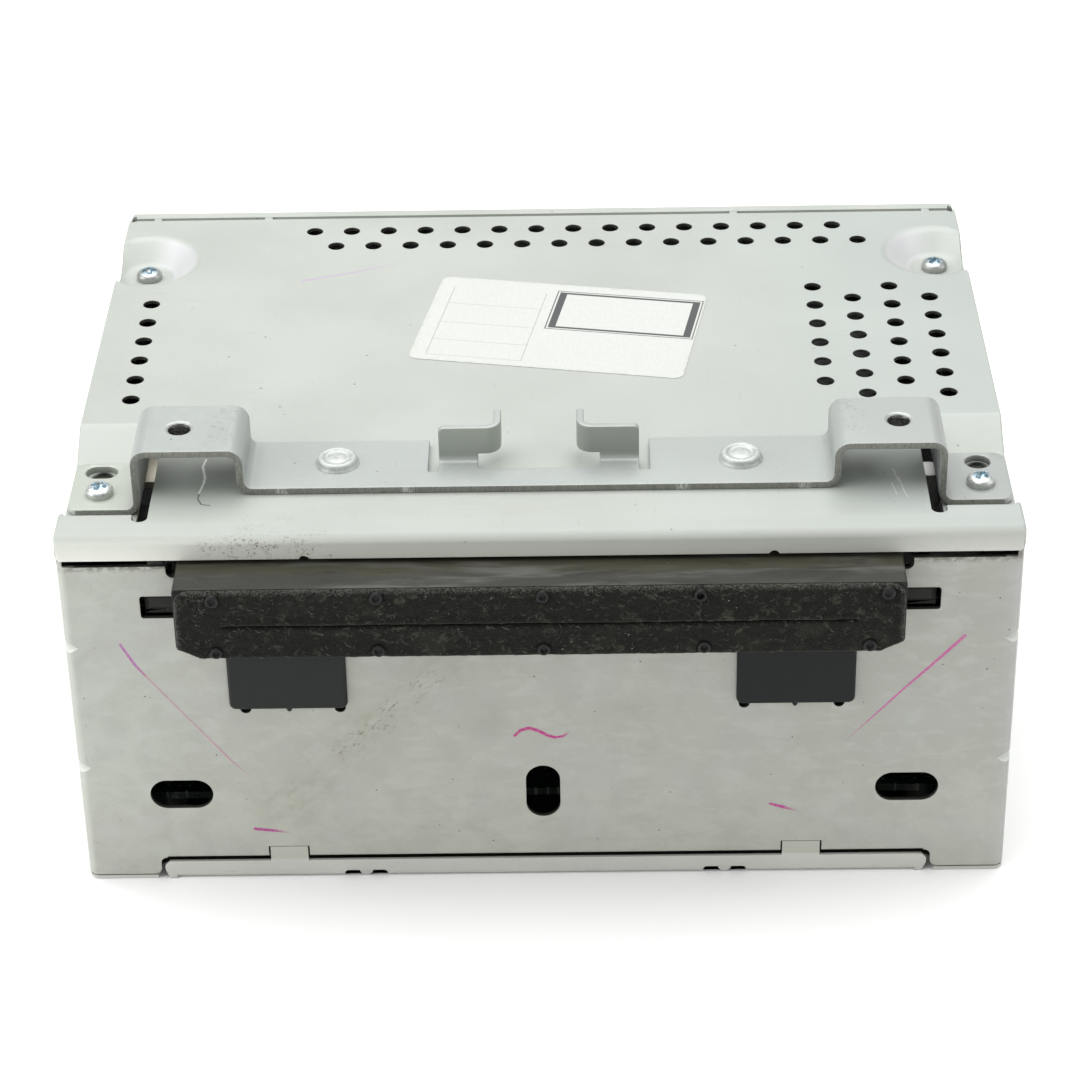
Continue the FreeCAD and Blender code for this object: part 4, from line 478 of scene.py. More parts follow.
def steel(name, c1, c2, r0=0.28, grain=(1, 1, 1), metallic=0.95):
    m = Mat(name, metallic=metallic)
    a = m.noise(0.8, 4, 0.6, stretch=grain)
    b = m.noise(7, 3, 0.5)
    c = m.mix(m.step(a, 0.3, 0.7), c1, c2)
    c = m.mix(m.ma("MULTIPLY", m.step(b, 0.5, 0.75), 0.35), c, tuple(v * 0.75 for v in c1))
    m.color(c).rough(m.ma("ADD", m.remap(a, 0.3, 0.7, r0 - 0.05, r0 + 0.08), m.remap(b, 0.3, 0.7, 0.0, 0.1)))
    m.bump(a, 0.01, 0.4)
    return m.m


M["button"] = steel("satin_rivet", (0.40, 0.42, 0.40), (0.50, 0.52, 0.50), 0.36, metallic=0.35)
M["thread"] = steel("cut_thread", (0.10, 0.10, 0.095), (0.30, 0.30, 0.29), 0.25, metallic=0.9)
M["mech"] = steel("mechanism_sheet", (0.085, 0.087, 0.087), (0.125, 0.128, 0.128), 0.46, metallic=0.7)
M["bright"] = steel("ground_steel", (0.62, 0.62, 0.63), (0.74, 0.74, 0.75), 0.16, (0.1, 2.5, 2.5))
M["can"] = steel("drawn_can", (0.52, 0.52, 0.53), (0.64, 0.64, 0.65), 0.30)
M["dark_can"] = steel("blackened_can", (0.030, 0.030, 0.031), (0.048, 0.048, 0.049), 0.42, metallic=0.5)
M["spring"] = steel("spring_wire", (0.34, 0.34, 0.35), (0.46, 0.46, 0.47), 0.28)


def screw_mat(name, centres, axis, tone=1.0):
    m = Mat(name, metallic=0.75)
    a = m.noise(0.5, 4, 0.6)
    c = m.mix(m.step(a, 0.3, 0.7), (0.52 * tone, 0.54 * tone, 0.53 * tone), (0.70 * tone, 0.72 * tone, 0.70 * tone))
    best = None
    for p in centres:
        q = [p[i] if i != axis else 0 for i in range(3)]
        v = m.vm("MULTIPLY", m.pos, tuple(0 if i == axis else 1 for i in range(3)))
        d = m.vm("DISTANCE", v, tuple(q))
        best = d if best is None else m.ma("MINIMUM", best, d)
    blue = m.ma("MULTIPLY", m.step(best, 2.1, 1.3), m.step(m.noise(0.7, 3, 0.6, offset=(5, 2, 7)), 0.40, 0.60))
    c = m.mix(m.ma("MULTIPLY", blue, 0.75), c, (0.13, 0.30, 0.42))
    grime = m.ma("MULTIPLY", m.step(best, 2.2, 2.8), 0.35)
    c = m.mix(grime, c, (0.30, 0.29, 0.26))
    m.color(c).rough(m.remap(a, 0.3, 0.7, 0.24, 0.42))
    m.bump(a, 0.015, 0.4)
    return m.m


M["screw_br"] = screw_mat("bracket_screw_zinc", [(-84.05, 20.7, 0), (84.05, 20.7, 0)], 2)
M["screw_cv"] = screw_mat("cover_screw_zinc", [(-84.0, 111.5, 0), (84.0, 111.5, 0)], 2, 0.62)
M["screw_sd"] = screw_mat("side_screw_zinc", [(0, y, z) for y, z in ((40, 39), (108, 39), (126, 20), (126, 60))], 0)
M["screw_bt"] = screw_mat("bottom_screw_zinc", [(sx * 83.5, y, 0) for sx in (-1, 1) for y in (21.0, 109.0)], 2)


def plastic(name, c1, c2, r0=0.42, tex=0.25, bump=0.012, dust_and_shade=None, gloss_spec=0.5):
    m = Mat(name, spec=gloss_spec)
    a = m.noise(tex, 2, 0.5)
    b = m.noise(14, 3, 0.55)
    c = m.mix(m.step(b, 0.3, 0.7), c1, c2)
    rough = m.remap(a, 0.3, 0.7, r0 - 0.05, r0 + 0.08)
    if dust_and_shade:
        c, rough = dust_and_shade(m, c, rough)
    m.color(c).rough(rough)
    m.bump(a, bump, 0.6)
    return m.m


def frame_dust_and_sheen(m, c, rough):
    n = m.normal()
    # lighter film on the upward faces: dust, with painted sheen
    up = m.step(n[2], 0.35, 0.9)
    dust_sheen_film = m.ma("MULTIPLY", up, m.remap(m.noise(9, 4, 0.6, 0.3, stretch=(0.35, 1, 1)), 0.3, 0.72, 0.35, 1.0))
    c = m.mix(m.ma("MULTIPLY", dust_sheen_film, 0.75), c, (0.056, 0.057, 0.048))
    # olive grime next to the lip, greyer wiped band further out
    gl = m.ma("MULTIPLY", up, m.step(m.ma("ADD", m.y, m.ma("MULTIPLY", m.ma("SUBTRACT", m.noise(14, 3, 0.6), 0.5), 9.0)), -5.2, -2.6))
    c = m.mix(m.ma("MULTIPLY", gl, 0.75), c, (0.050, 0.047, 0.030))
    gw = m.ma("MULTIPLY", up, m.step(m.noise(5.5, 3, 0.6, 0.3, stretch=(0.16, 1, 1), offset=(8, 4, 2)), 0.48, 0.66))
    c = m.mix(m.ma("MULTIPLY", gw, 0.6), c, (0.115, 0.118, 0.112))
    # shine and dirt streaks along the top
    st = m.ma("MULTIPLY", up, m.step(m.noise(2.4, 4, 0.65, 0.5, stretch=(0.22, 1, 1), offset=(2, 2, 5)), 0.55, 0.70))
    c = m.mix(m.ma("MULTIPLY", st, 0.6), c, (0.022, 0.021, 0.017))
    lint = m.ma("MULTIPLY", m.step(m.voro(2.6), 0.07, 0.03), m.step(m.noise(6, 2, 0.5), 0.45, 0.6))
    c = m.mix(m.ma("MULTIPLY", lint, 0.5), c, (0.38, 0.38, 0.33))
    # the two tongues are cleaner and a little bluer; the right one darker, painted shade
    tg = m.step(m.z, 58.2, 57.6)
    c = m.mix(m.ma("MULTIPLY", tg, 0.92), c, m.mix(m.step(m.x, -20, 20), (0.0200, 0.0228, 0.0215), (0.0125, 0.0145, 0.0145)))
    rough = m.ma("ADD", rough, m.ma("MULTIPLY", dust_sheen_film, 0.08))
    return c, rough


M["frame"] = plastic("mouth_frame_moulding", (0.016, 0.0165, 0.015), (0.022, 0.0225, 0.020), 0.48, dust_and_shade=frame_dust_and_sheen, gloss_spec=0.15)
M["black"] = plastic("black_moulding", (0.018, 0.018, 0.019), (0.026, 0.026, 0.027), 0.42)
M["ivory"] = plastic("ivory_acetal", (0.66, 0.62, 0.50), (0.74, 0.70, 0.58), 0.38)
M["white"] = plastic("white_nylon", (0.72, 0.73, 0.70), (0.80, 0.80, 0.77), 0.40)
M["chip"] = plastic("component_bodies", (0.014, 0.014, 0.015), (0.024, 0.024, 0.025), 0.45, 0.2)
M["rubber"] = plastic("moulded_rubber", (0.016, 0.016, 0.016), (0.03, 0.029, 0.028), 0.62, 0.5, 0.02, gloss_spec=0.35)


def stake_painted_shading(m, c, rough):
    # painted shade in the hollow, painted light on the lower side
    c = m.mix(m.step(m.y, -10.42, -10.25), c, (0.006, 0.006, 0.006))
    low = m.ma("MULTIPLY", m.step(m.normal()[2], 0.1, -0.5), m.step(m.noise(0.9, 2, 0.5), 0.35, 0.6))
    return m.mix(m.ma("MULTIPLY", low, 0.4), c, (0.050, 0.050, 0.046)), rough


M["stake"] = plastic("heat_staked_heads", (0.009, 0.009, 0.009), (0.016, 0.015, 0.015), 0.42, 0.6, 0.01, dust_and_shade=stake_painted_shading, gloss_spec=0.22)


def felt_mat():
    m = Mat("black_felt", spec=0.12, sheen=0.10)
    f = m.noise(0.42, 4, 0.7, 0.8)
    f2 = m.noise(1.5, 4, 0.65, 0.7, stretch=(0.8, 1, 1))
    w = m.noise(11, 3, 0.6)
    c = m.mix(m.step(f, 0.36, 0.66), (0.0022, 0.0023, 0.0017), (0.0125, 0.0130, 0.0096))
    c = m.mix(m.ma("MULTIPLY", m.step(f2, 0.54, 0.70), 0.80), c, (0.046, 0.048, 0.034))
    c = m.mix(m.ma("MULTIPLY", m.step(w, 0.56, 0.72), 0.22), c, (0.040, 0.040, 0.030))
    # pale lint caught in the pile
    l = m.ma("MULTIPLY", m.step(m.voro(1.7, rand=1.0), 0.105, 0.05), m.step(m.noise(4.0, 2, 0.5, offset=(9, 1, 3)), 0.53, 0.64))
    c = m.mix(m.ma("MULTIPLY", l, 0.8), c, (0.26, 0.27, 0.22))
    # worn, greyer arris of the felt
    e = m.ma("MAXIMUM", m.step(m.z, 71.9, 72.9), m.step(m.ma("ABSOLUTE", m.x), 66.2, 67.4))
    c = m.mix(m.ma("MULTIPLY", m.ma("MULTIPLY", e, m.step(f, 0.40, 0.6)), 0.45), c, (0.12, 0.12, 0.105))
    m.color(c).rough(m.remap(f, 0.3, 0.7, 0.80, 0.97))
    h = m.ma("ADD", m.ma("MULTIPLY", f, 0.6), m.ma("MULTIPLY", m.noise(0.16, 3, 0.6, 1.0), 0.4))
    m.bump(h, 0.35, 0.75)
    return m.m


M["felt"] = felt_mat()
lm = Mat("felt_lint", spec=0.2)
lm.color(lm.mix(lm.step(lm.noise(2.6, 2, 0.5), 0.40, 0.72), (0.030, 0.031, 0.025), (0.17, 0.175, 0.15))).rough(lm.remap(lm.noise(0.4, 2, 0.5), 0.3, 0.7, 0.75, 0.95))
M["lint"] = lm.m


def label_mat():
    """White paper with bare printed rules: a form grid on the left and an empty double frame."""
    m = Mat("ruled_label", spec=0.35)
    a = math.radians(-10.3)
    ca, sa = math.cos(a), math.sin(a)
    dx, dy = m.ma("SUBTRACT", m.x, 4.0), m.ma("SUBTRACT", m.y, 79.7)
    u = m.ma("ADD", m.ma("MULTIPLY", dx, ca), m.ma("MULTIPLY", dy, sa))
    v = m.ma("SUBTRACT", m.ma("MULTIPLY", dy, ca), m.ma("MULTIPLY", dx, sa))

    def rect(u0, u1, v0, v1):
        """Signed distance to a rectangle, negative inside."""
        du = m.ma("SUBTRACT", m.ma("ABSOLUTE", m.ma("SUBTRACT", u, (u0 + u1) / 2)), (u1 - u0) / 2)
        dv = m.ma("SUBTRACT", m.ma("ABSOLUTE", m.ma("SUBTRACT", v, (v0 + v1) / 2)), (v1 - v0) / 2)
        return m.ma("MAXIMUM", du, dv)

    fibre = m.noise(0.6, 3, 0.6, stretch=(1, 0.5, 1))
    c = m.mix(m.step(fibre, 0.3, 0.7), (0.487, 0.502, 0.475), (0.520, 0.535, 0.508))
    c = m.mix(m.ma("MULTIPLY", m.step(m.noise(15, 2, 0.5), 0.5, 0.75), 0.25), c, (0.49, 0.50, 0.46))
    ink = (0.030, 0.030, 0.034)
    r1 = rect(-2.9, 27.6, -1.4, 15.0)
    c = m.mix(m.ma("MULTIPLY", m.step(m.ma("ABSOLUTE", r1), 0.17, 0.09), 0.85), c, ink)
    r2, r3 = rect(-2.4, 27.1, -0.9, 14.5), rect(-0.9, 25.6, -0.2, 13.8)
    band = m.ma("MULTIPLY", m.step(r2, 0.05, -0.05), m.step(r3, -0.05, 0.05))
    c = m.mix(m.ma("MULTIPLY", band, 0.92), c, ink)
    for u0 in (-24.8, -5.2):
        k = m.ma("MULTIPLY", m.step(m.ma("ABSOLUTE", m.ma("SUBTRACT", u, u0)), 0.13, 0.06), m.step(m.ma("ABSOLUTE", m.ma("ADD", v, 1.05)), 14.6, 14.5))
        c = m.mix(m.ma("MULTIPLY", k, 0.55), c, (0.20, 0.20, 0.21))
    for v0 in (6.5, -1.7, -9.1, -15.6):
        k = m.ma("MULTIPLY", m.step(m.ma("ABSOLUTE", m.ma("SUBTRACT", v, v0)), 0.13, 0.06), m.step(m.ma("ABSOLUTE", m.ma("ADD", u, 15.0)), 9.9, 9.8))
        c = m.mix(m.ma("MULTIPLY", k, 0.50), c, (0.22, 0.22, 0.23))
    # yellowed and rubbed edge
    e = m.step(rect(-28.0, 28.0, -17.8, 17.8), -0.9, 0.0)
    c = m.mix(m.ma("MULTIPLY", m.ma("MULTIPLY", e, m.step(m.noise(1.4, 3, 0.6), 0.4, 0.65)), 0.35), c, (0.38, 0.37, 0.30))
    m.color(c).rough(m.remap(fibre, 0.3, 0.7, 0.48, 0.62))
    nb = m.bump(fibre, 0.01, 0.5)
    m.bump(m.noise(9, 2, 0.5), 0.25, 0.4, nb)
    return m.m


M["paper"] = label_mat()


def board_mat(name, base=(0.012, 0.085, 0.035)):
    m = Mat(name, spec=0.5, coat=0.3, coat_rough=0.15)
    tr = m.voro(3.2, feature="DISTANCE_TO_EDGE", rand=0.55, stretch=(1, 1, 0.02))
    line = m.step(tr, 0.10, 0.06)
    dots = m.step(m.voro(2.3, rand=0.35, stretch=(1, 1, 0.02)), 0.16, 0.11)
    c = m.mix(m.step(m.noise(16, 2, 0.5), 0.3, 0.7), base, tuple(v * 1.3 for v in base))
    c = m.mix(m.ma("MULTIPLY", line, 0.6), c, tuple(v * 2.1 for v in base))
    c = m.mix(m.ma("MULTIPLY", dots, 0.8), c, (0.26, 0.265, 0.25))
    m.color(c).rough(m.remap(m.noise(2, 3, 0.5), 0.3, 0.7, 0.25, 0.4))
    m.bump(m.ma("MAXIMUM", line, dots), 0.03, 0.5)
    return m.m


M["board"] = board_mat("lacquered_board", (0.004, 0.024, 0.011))
M["gold"] = steel("plated_pins", (0.62, 0.48, 0.22), (0.76, 0.62, 0.32), 0.25)
M["dust_sheen_film"] = plastic("flat_cable", (0.60, 0.62, 0.62), (0.70, 0.71, 0.70), 0.35)
gm = Mat("lens_glass", ior=1.5)
gm.b.inputs["Transmission Weight"].default_value = 0.85
gm.color(gm.mix(gm.step(gm.noise(2, 2, 0.5), 0.3, 0.7), (0.72, 0.84, 0.92), (0.80, 0.90, 0.96)))
gm.rough(gm.remap(gm.noise(0.8, 2, 0.5), 0.3, 0.7, 0.02, 0.06))
M["lens"] = gm.m

MAT_OF = {
    "top_cover": "cover", "chassis_frame": "front", "bottom_cover": "bottom", "rear_panel": "rear", "rear_rim": "rear", "strap_bracket": "strap",
    "clinch_buttons": "button", "bracket_screws": "screw_br", "cover_screws": "screw_cv", "side_screws": "screw_sd",
    "bottom_screws": "screw_bt", "mouth_frame": "frame", "felt_surround": "felt", "felt_lip_upper": "felt",
    "felt_lip_lower": "felt", "heat_stakes": "stake", "mechanism_deck": "mech", "mechanism_top_plate": "mech",
    "disc_guide": "black", "roller_arm": "mech", "feed_roller_shaft": "bright", "feed_roller_rubber": "rubber",
    "feed_roller_gear": "white", "reduction_gear": "white", "loading_motor_pinion": "white", "loading_motor": "dark_can",
    "gear_plate": "ivory", "gear_axle": "bright", "roller_arm_pins": "bright", "guide_post": "white", "clamp_arm": "mech",
    "clamper_disc": "black", "clamp_arm_pin": "bright", "clamp_springs": "spring", "traverse_base": "mech",
    "guide_rods": "bright", "spindle_motor": "can", "turntable": "black", "turntable_pad": "rubber",
    "pickup_sled": "black", "pickup_lens": "lens", "lead_screw": "bright", "sled_motor": "can",
    "suspension_rails": "mech", "rubber_dampers": "rubber", "suspension_springs": "spring", "main_board": "board",
    "board_screws": "bright", "board_components": "chip", "rear_connector": "black", "connector_pins": "gold",
    "servo_board": "board", "servo_chips": "chip", "ribbon_cable": "dust_sheen_film", "ribbon_socket": "black", "paper_label": "paper",
}


def paint(obj, key):
    obj.data.materials.clear()
    obj.data.materials.append(M[key])


for name, key in MAT_OF.items():
    if name in nodes:
        paint(nodes[name], key)


# ------------------------------------------------------------------ mesh kit
def link(name, mesh, body, key=None):
    o = bpy.data.objects.new(name, mesh)
    bpy.context.scene.collection.objects.link(o)
    if key:
        paint(o, key)
    if body:
        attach(o, body)
    return o


def smooth(mesh, angle=35):
    for p in mesh.polygons:
        p.use_smooth = True
    mesh.set_sharp_from_angle(angle=math.radians(angle))


def refine(node, width, body="case", seg=2, name=None, limit=30, flat=0.4, soft=None):
    """The CAD node with its flat faces merged and its sharp edges broken by a small round; soft picks drawn edges."""
    lo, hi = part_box(node)
    src = nodes[node]
    bm = bmesh.new()
    bm.from_mesh(src.data)
    bmesh.ops.remove_doubles(bm, verts=bm.verts, dist=1e-6)
    if node == "chassis_frame":
        bmesh.ops.dissolve_degenerate(bm, dist=1e-6, edges=bm.edges)
    bmesh.ops.dissolve_limit(bm, angle_limit=math.radians(flat), use_dissolve_boundaries=False, verts=bm.verts, edges=bm.edges)
    if soft:
        drawn = [e for e in bm.edges if len(e.link_faces) == 2 and e.calc_face_angle(0) > math.radians(12) and soft(e)]
        bmesh.ops.bevel(bm, geom=drawn, offset=1.15 * MM, offset_type="OFFSET", segments=5, profile=0.5,
                        affect="EDGES", clamp_overlap=False, harden_normals=False, loop_slide=True)
        print("drawn edges", len(drawn))
    sharp = [e for e in bm.edges if len(e.link_faces) == 2 and e.calc_face_angle(0) > math.radians(limit)]
    bmesh.ops.bevel(bm, geom=sharp, offset=width * MM, offset_type="OFFSET", segments=seg, profile=0.5,
                    affect="EDGES", clamp_overlap=False, harden_normals=False, loop_slide=True)
    bmesh.ops.triangulate(bm, faces=[f for f in bm.faces if len(f.verts) > 4])
    bmesh.ops.recalc_face_normals(bm, faces=bm.faces)
    for v in bm.verts:
        v.co = [min(max(v.co[i], lo[i]), hi[i]) for i in range(3)]
    me = bpy.data.meshes.new((name or node) + "_skin")
    bm.to_mesh(me)
    bad = sum(1 for e in bm.edges if len(e.link_faces) != 2)
    bm.free()
    print("refine", node, "verts", len(me.vertices), "open edges", bad)
    o = link((name or node) + "_skin", me, body)
    me.materials.append(src.data.materials[0])
    smooth(me, 40)
    wn = o.modifiers.new("even_faces", "WEIGHTED_NORMAL")
    wn.mode = "FACE_AREA"
    wn.weight = 100
    wn.keep_sharp = True
    return o


def lathe(bm, profile, centre, axis=(0, 0, 1), n=48, phase=0.0):
    """Closed body of revolution; profile is (radius, height) in mm from the axis bottom to the axis top."""
    ax = Vector(axis).normalized()
    u = ax.orthogonal().normalized()
    w = ax.cross(u)
    c = Vector(centre)
    rings = []
    for r, h in profile:
        if r < 1e-6:
            rings.append([bm.verts.new(c + ax * h * MM)])
        else:
            rings.append([bm.verts.new(c + ax * h * MM + (u * math.cos(a) + w * math.sin(a)) * r * MM)
                          for a in (phase + 2 * math.pi * i / n for i in range(n))])
    for a, b in zip(rings, rings[1:]):
        if len(a) == 1 and len(b) == 1:
            continue
        for i in range(n):
            j = (i + 1) % n
            if len(a) == 1:
                bm.faces.new((a[0], b[i], b[j]))
            elif len(b) == 1:
                bm.faces.new((a[i], b[0], a[j]))
            else:
                bm.faces.new((a[i], b[i], b[j], a[j]))
    return rings


def finish_mesh(bm, name, body, key, angle=50):
    bmesh.ops.recalc_face_normals(bm, faces=bm.faces)
    me = bpy.data.meshes.new(name)
    bm.to_mesh(me)
    bm.free()
    smooth(me, angle)
    return link(name, me, body, key)


def arc(cx, cy, r, a0, a1, n):
    return [(cx + r * math.cos(math.radians(a0 + (a1 - a0) * i / n)), cy + r * math.sin(math.radians(a0 + (a1 - a0) * i / n))) for i in range(n + 1)]


# ------------------------------------------------------------------ camera, light, floor
R = [[1, 0, 0], [0, 1, 0], [0, 0, 1]]


def matmul(a, b):
    return [[sum(a[i][k] * b[k][j] for k in range(3)) for j in range(3)] for i in range(3)]


pa, pb, pc = 0.5624, 0.0150, -0.0201
R0 = [[1, 0, 0], [0, 0, -1], [0, 1, 0]]
Rz = [[math.cos(pb), math.sin(pb), 0], [-math.sin(pb), math.cos(pb), 0], [0, 0, 1]]
Rx = [[1, 0, 0], [0, math.cos(pa), -math.sin(pa)], [0, math.sin(pa), math.cos(pa)]]
Rr = [[math.cos(pc), -math.sin(pc), 0], [math.sin(pc), math.cos(pc), 0], [0, 0, 1]]
R = matmul(Rr, matmul(Rx, matmul(R0, Rz)))
cam_data = bpy.data.cameras.new("camera")
cam = bpy.data.objects.new("camera", cam_data)
bpy.context.scene.collection.objects.link(cam)
right, down, ahead = Vector(R[0]), Vector(R[1]), Vector(R[2])
mw = Matrix.Identity(4)
for i, v in enumerate((right, -down, -ahead)):
    mw[0][i], mw[1][i], mw[2][i] = v
loc = P(8.030, -519.158, 404.730)
mw[0][3], mw[1][3], mw[2][3] = loc
cam.matrix_world = mw
cam_data.sensor_fit = "HORIZONTAL"
cam_data.sensor_width = 36.0
cam_data.lens = 3312.6 / 1080 * 36.0
cam_data.clip_start = 0.01
cam_data.clip_end = 20
bpy.context.scene.camera = cam

world = bpy.data.worlds.new("studio")
bpy.context.scene.world = world
world.use_nodes = True
world.node_tree.nodes["Background"].inputs[0].default_value = (1.0, 1.0, 1.0, 1)
world.node_tree.nodes["Background"].inputs[1].default_value = 0.50
bpy.context.scene.view_settings.view_transform = "Standard"

fm = Mat("studio_floor", spec=0.2)
fm.color(fm.mix(fm.step(fm.noise(300, 2, 0.5), 0.3, 0.7), (0.95, 0.95, 0.95), (0.97, 0.97, 0.97))).rough(0.6)
fme = bpy.data.meshes.new("floor")
fb = bmesh.new()
vs = [fb.verts.new((x, y, 0)) for x, y in ((-6, -6), (6, -6), (6, 6), (-6, 6))]
fb.faces.new(vs)
fb.to_mesh(fme)
fb.free()
floor = bpy.data.objects.new("floor", fme)
floor.location = (0, 0, -0.00002)
bpy.context.scene.collection.objects.link(floor)
fme.materials.append(fm.m)


def area(name, at, to, size, power, color=(1, 1, 1)):
    l = bpy.data.lights.new(name, "AREA")
    l.shape = "RECTANGLE"
    l.size, l.size_y = size
    l.energy = power
    l.color = color
    o = bpy.data.objects.new(name, l)
    o.location = at
    o.rotation_euler = (Vector(to) - Vector(at)).to_track_quat("-Z", "Y").to_euler()
    bpy.context.scene.collection.objects.link(o)
    return o


stage = [floor,
         area("top_softbox", (-0.10, 0.22, 1.15), (0, 0.02, 0.04), (1.6, 1.4), 21.5),
         area("left_softbox", (-1.1, -0.35, 0.55), (0, 0, 0.04), (0.9, 0.9), 6.4),
         area("right_softbox", (1.1, -0.2, 0.55), (0, 0, 0.04), (0.9, 0.9), 3.0)]

# ------------------------------------------------------------------ pieces: sheet metal with broken edges
def dish_edge(e):
    """Edges of the two drawn dishes round the rear cover screws: outer rim and floor, on the outside."""
    for v in e.verts:
        x, y, z = v.co[0] / MM, v.co[1] / MM + YC, v.co[2] / MM + ZB
        r = math.hypot(abs(x) - 84.0, y - 111.5)
        if not ((abs(r - 10.7) < 0.12 and z > 78.9 and abs(x) < 89.0) or (abs(r - 5.3) < 0.12 and z > 74.5)):
            return False
    return True


for node, w, sl in (("top_cover", 0.10, "zinc_sheet"), ("chassis_frame", 0.10, "zinc_sheet"), ("bottom_cover", 0.12, "zinc_sheet"),
                    ("rear_panel", 0.12, "zinc_sheet"), ("strap_bracket", 0.22, "bracket_steel"), ("mouth_frame", 0.16, "frame_plastic")):
    skin = refine(node, w, soft=dish_edge if node == "top_cover" else None)
    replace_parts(skin, node)


# ------------------------------------------------------------------ pieces: screws, rivets, thread inserts
def ease(v, lo, hi):
    t = min(1.0, max(0.0, (v - lo) / (hi - lo)))
    return t * t * (3 - 2 * t)


def screw_head(bm, seat, d, R, h, rs, ls, phase=0.0, n=96):
    """Domed pan head with a soft cross recess on a chamfered shank; seat is where the head rests, d points into the work."""
    ax = -Vector(d)
    u = ax.orthogonal().normalized()
    w = ax.cross(u)
    k = min(1.0, h / 1.7)

    def top(r, a):
        z = h * (0.40 + 0.60 * max(0.0, 1 - (r / R) ** 2.3) ** 0.52)
        x, y = r * math.cos(a - phase), r * math.sin(a - phase)
        m, q = max(abs(x), abs(y)), min(abs(x), abs(y))
        arm = (1 - ease(q, 0.34, 0.50)) * (1 - ease(m, 1.35, 1.60)) * (1.20 - 0.42 * m)
        core = (1 - ease(r, 0.50, 0.85)) * 1.15
        return z - k * max(arm, core)

    radii = [0.12 * i for i in range(1, 16)] + [1.95, 2.1, 2.25, 2.4, 2.52, 2.6, 2.66]
    radii = [r for r in radii if r < R - 0.03] + [R - 0.02, R]
    rings = [[bm.verts.new(seat + ax * top(0, 0) * MM)]]
    for r in radii:
        rings.append([bm.verts.new(seat + (u * math.cos(a) + w * math.sin(a)) * r * MM + ax * top(r, a) * MM)
                      for a in (2 * math.pi * i / n for i in range(n))])
    for r, z in ((R, 0.16 * h), (R - 0.06, 0.0), (rs + 0.15, 0.0), (rs, -0.15), (rs, -ls + 0.5), (rs * 0.62, -ls), (0.0, -ls)):
        if r == 0.0:
            rings.append([bm.verts.new(seat + ax * z * MM)])
        else:
            rings.append([bm.verts.new(seat + (u * math.cos(a) + w * math.sin(a)) * r * MM + ax * z * MM)
                          for a in (2 * math.pi * i / n for i in range(n))])
    for a, b in zip(rings, rings[1:]):
        for i in range(n):
            j = (i + 1) % n
            if len(a) == 1:
                bm.faces.new((a[0], b[i], b[j]))
            elif len(b) == 1:
                bm.faces.new((a[i], b[0], a[j]))
            else:
                bm.faces.new((a[i], b[i], b[j], a[j]))


def screws(name, node, seats, d_of, R, h, rs, ls, key, n=96):
    bm = bmesh.new()
    for i, p in enumerate(seats):
        screw_head(bm, P(*p), d_of(p), R, h, rs, ls, rng.uniform(0, 1.5), n)
    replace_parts(finish_mesh(bm, name, "case", key, 42), node)


down = lambda p: (0, 0, -1)
screws("bracket_screw_set", "bracket_screws", [(sx * 84.05, 20.7, 76.1) for sx in (-1, 1)], down, 2.7, 2.0, 1.45, 6.9, "screw_br")
screws("cover_screw_set", "cover_screws", [(sx * 84.0, 111.5, 74.7) for sx in (-1, 1)], down, 2.7, 2.15, 1.45, 5.4, "screw_cv")
screws("side_screw_set", "side_screws", [(sx * 90.35, y, z) for sx in (-1, 1) for y, z in ((40, 39), (108, 39), (126, 20), (126, 60))],
       lambda p: (-1 if p[0] > 0 else 1, 0, 0), 2.6, 1.48, 1.28, 4.5, "screw_sd", 64)
screws("bottom_screw_set", "bottom_screws", [(sx * 83.5, y, ZB + 0.48) for sx in (-1, 1) for y in (21.0, 109.0)],
       lambda p: (0, 0, 1), 2.7, 0.45, 1.28, 3.7, "screw_bt", 64)

bm = bmesh.new()
for sx in (-1, 1):
    prof = [(0, 0), (1.9, 0), (2.0, 0.1), (2.0, 2.9), (4.1, 2.92), (4.25, 3.02), (4.18, 3.16), (4.02, 3.34), (3.90, 3.66)]
    prof += arc(3.14, 3.66, 0.76, 8, 90, 7)[1:]
    prof += [(2.86, 4.38), (2.66, 4.26), (2.46, 4.08), (2.20, 3.99), (1.85, 4.01), (1.58, 4.12), (1.35, 4.20), (0.7, 4.24), (0, 4.24)]
    lathe(bm, prof, P(sx * 38.5, 24.0, 77.42), n=96)
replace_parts(finish_mesh(bm, "clinch_button_set", "case", "button", 40), "clinch_buttons")

bm = bmesh.new()
for sx in (-1, 1):
    z0, n = 85.35, 64
    loop = [(2.25, 3.0), (2.25, 0.0), (2.12, 0.0)]
    for i in range(4):
        loop += [(2.09, 0.05 + 0.72 * i), (1.93, 0.30 + 0.72 * i), (1.93, 0.42 + 0.72 * i), (2.09, 0.67 + 0.72 * i)]
    loop += [(2.12, 3.0)]
    rings = []
    c = P(sx * 68.2, 23.5, z0)
    for r, h in loop:
        rings.append([bm.verts.new(c + Vector((r * math.cos(a), r * math.sin(a), h)) * MM) for a in (2 * math.pi * i / n for i in range(n))])
    for a, b in zip(rings, rings[1:] + rings[:1]):
        for i in range(n):
            j = (i + 1) % n
            bm.faces.new((a[i], b[i], b[j], a[j]))
finish_mesh(bm, "tapped_threads", "case", "thread", 60)

# ------------------------------------------------------------------ pieces: felt
FB, ZLO, ZHI, XH, SLIT, SLIT_END = -8.9, 58.15, 72.95, 67.5, 65.35, 59.6
PINS = [(-60.4, 71.4), (-30.0, 71.4), (0.5, 71.4), (29.8, 71.4), (64.2, 71.3),
        (-60.2, 59.9), (-29.9, 59.9), (0.6, 59.9), (30.4, 59.9), (61.1, 59.9)]


def pn(u, v, su, sv, seed):
    return mnoise.noise(Vector((u / su + seed * 3.7, v / sv - seed * 1.9, seed * 7.3)))


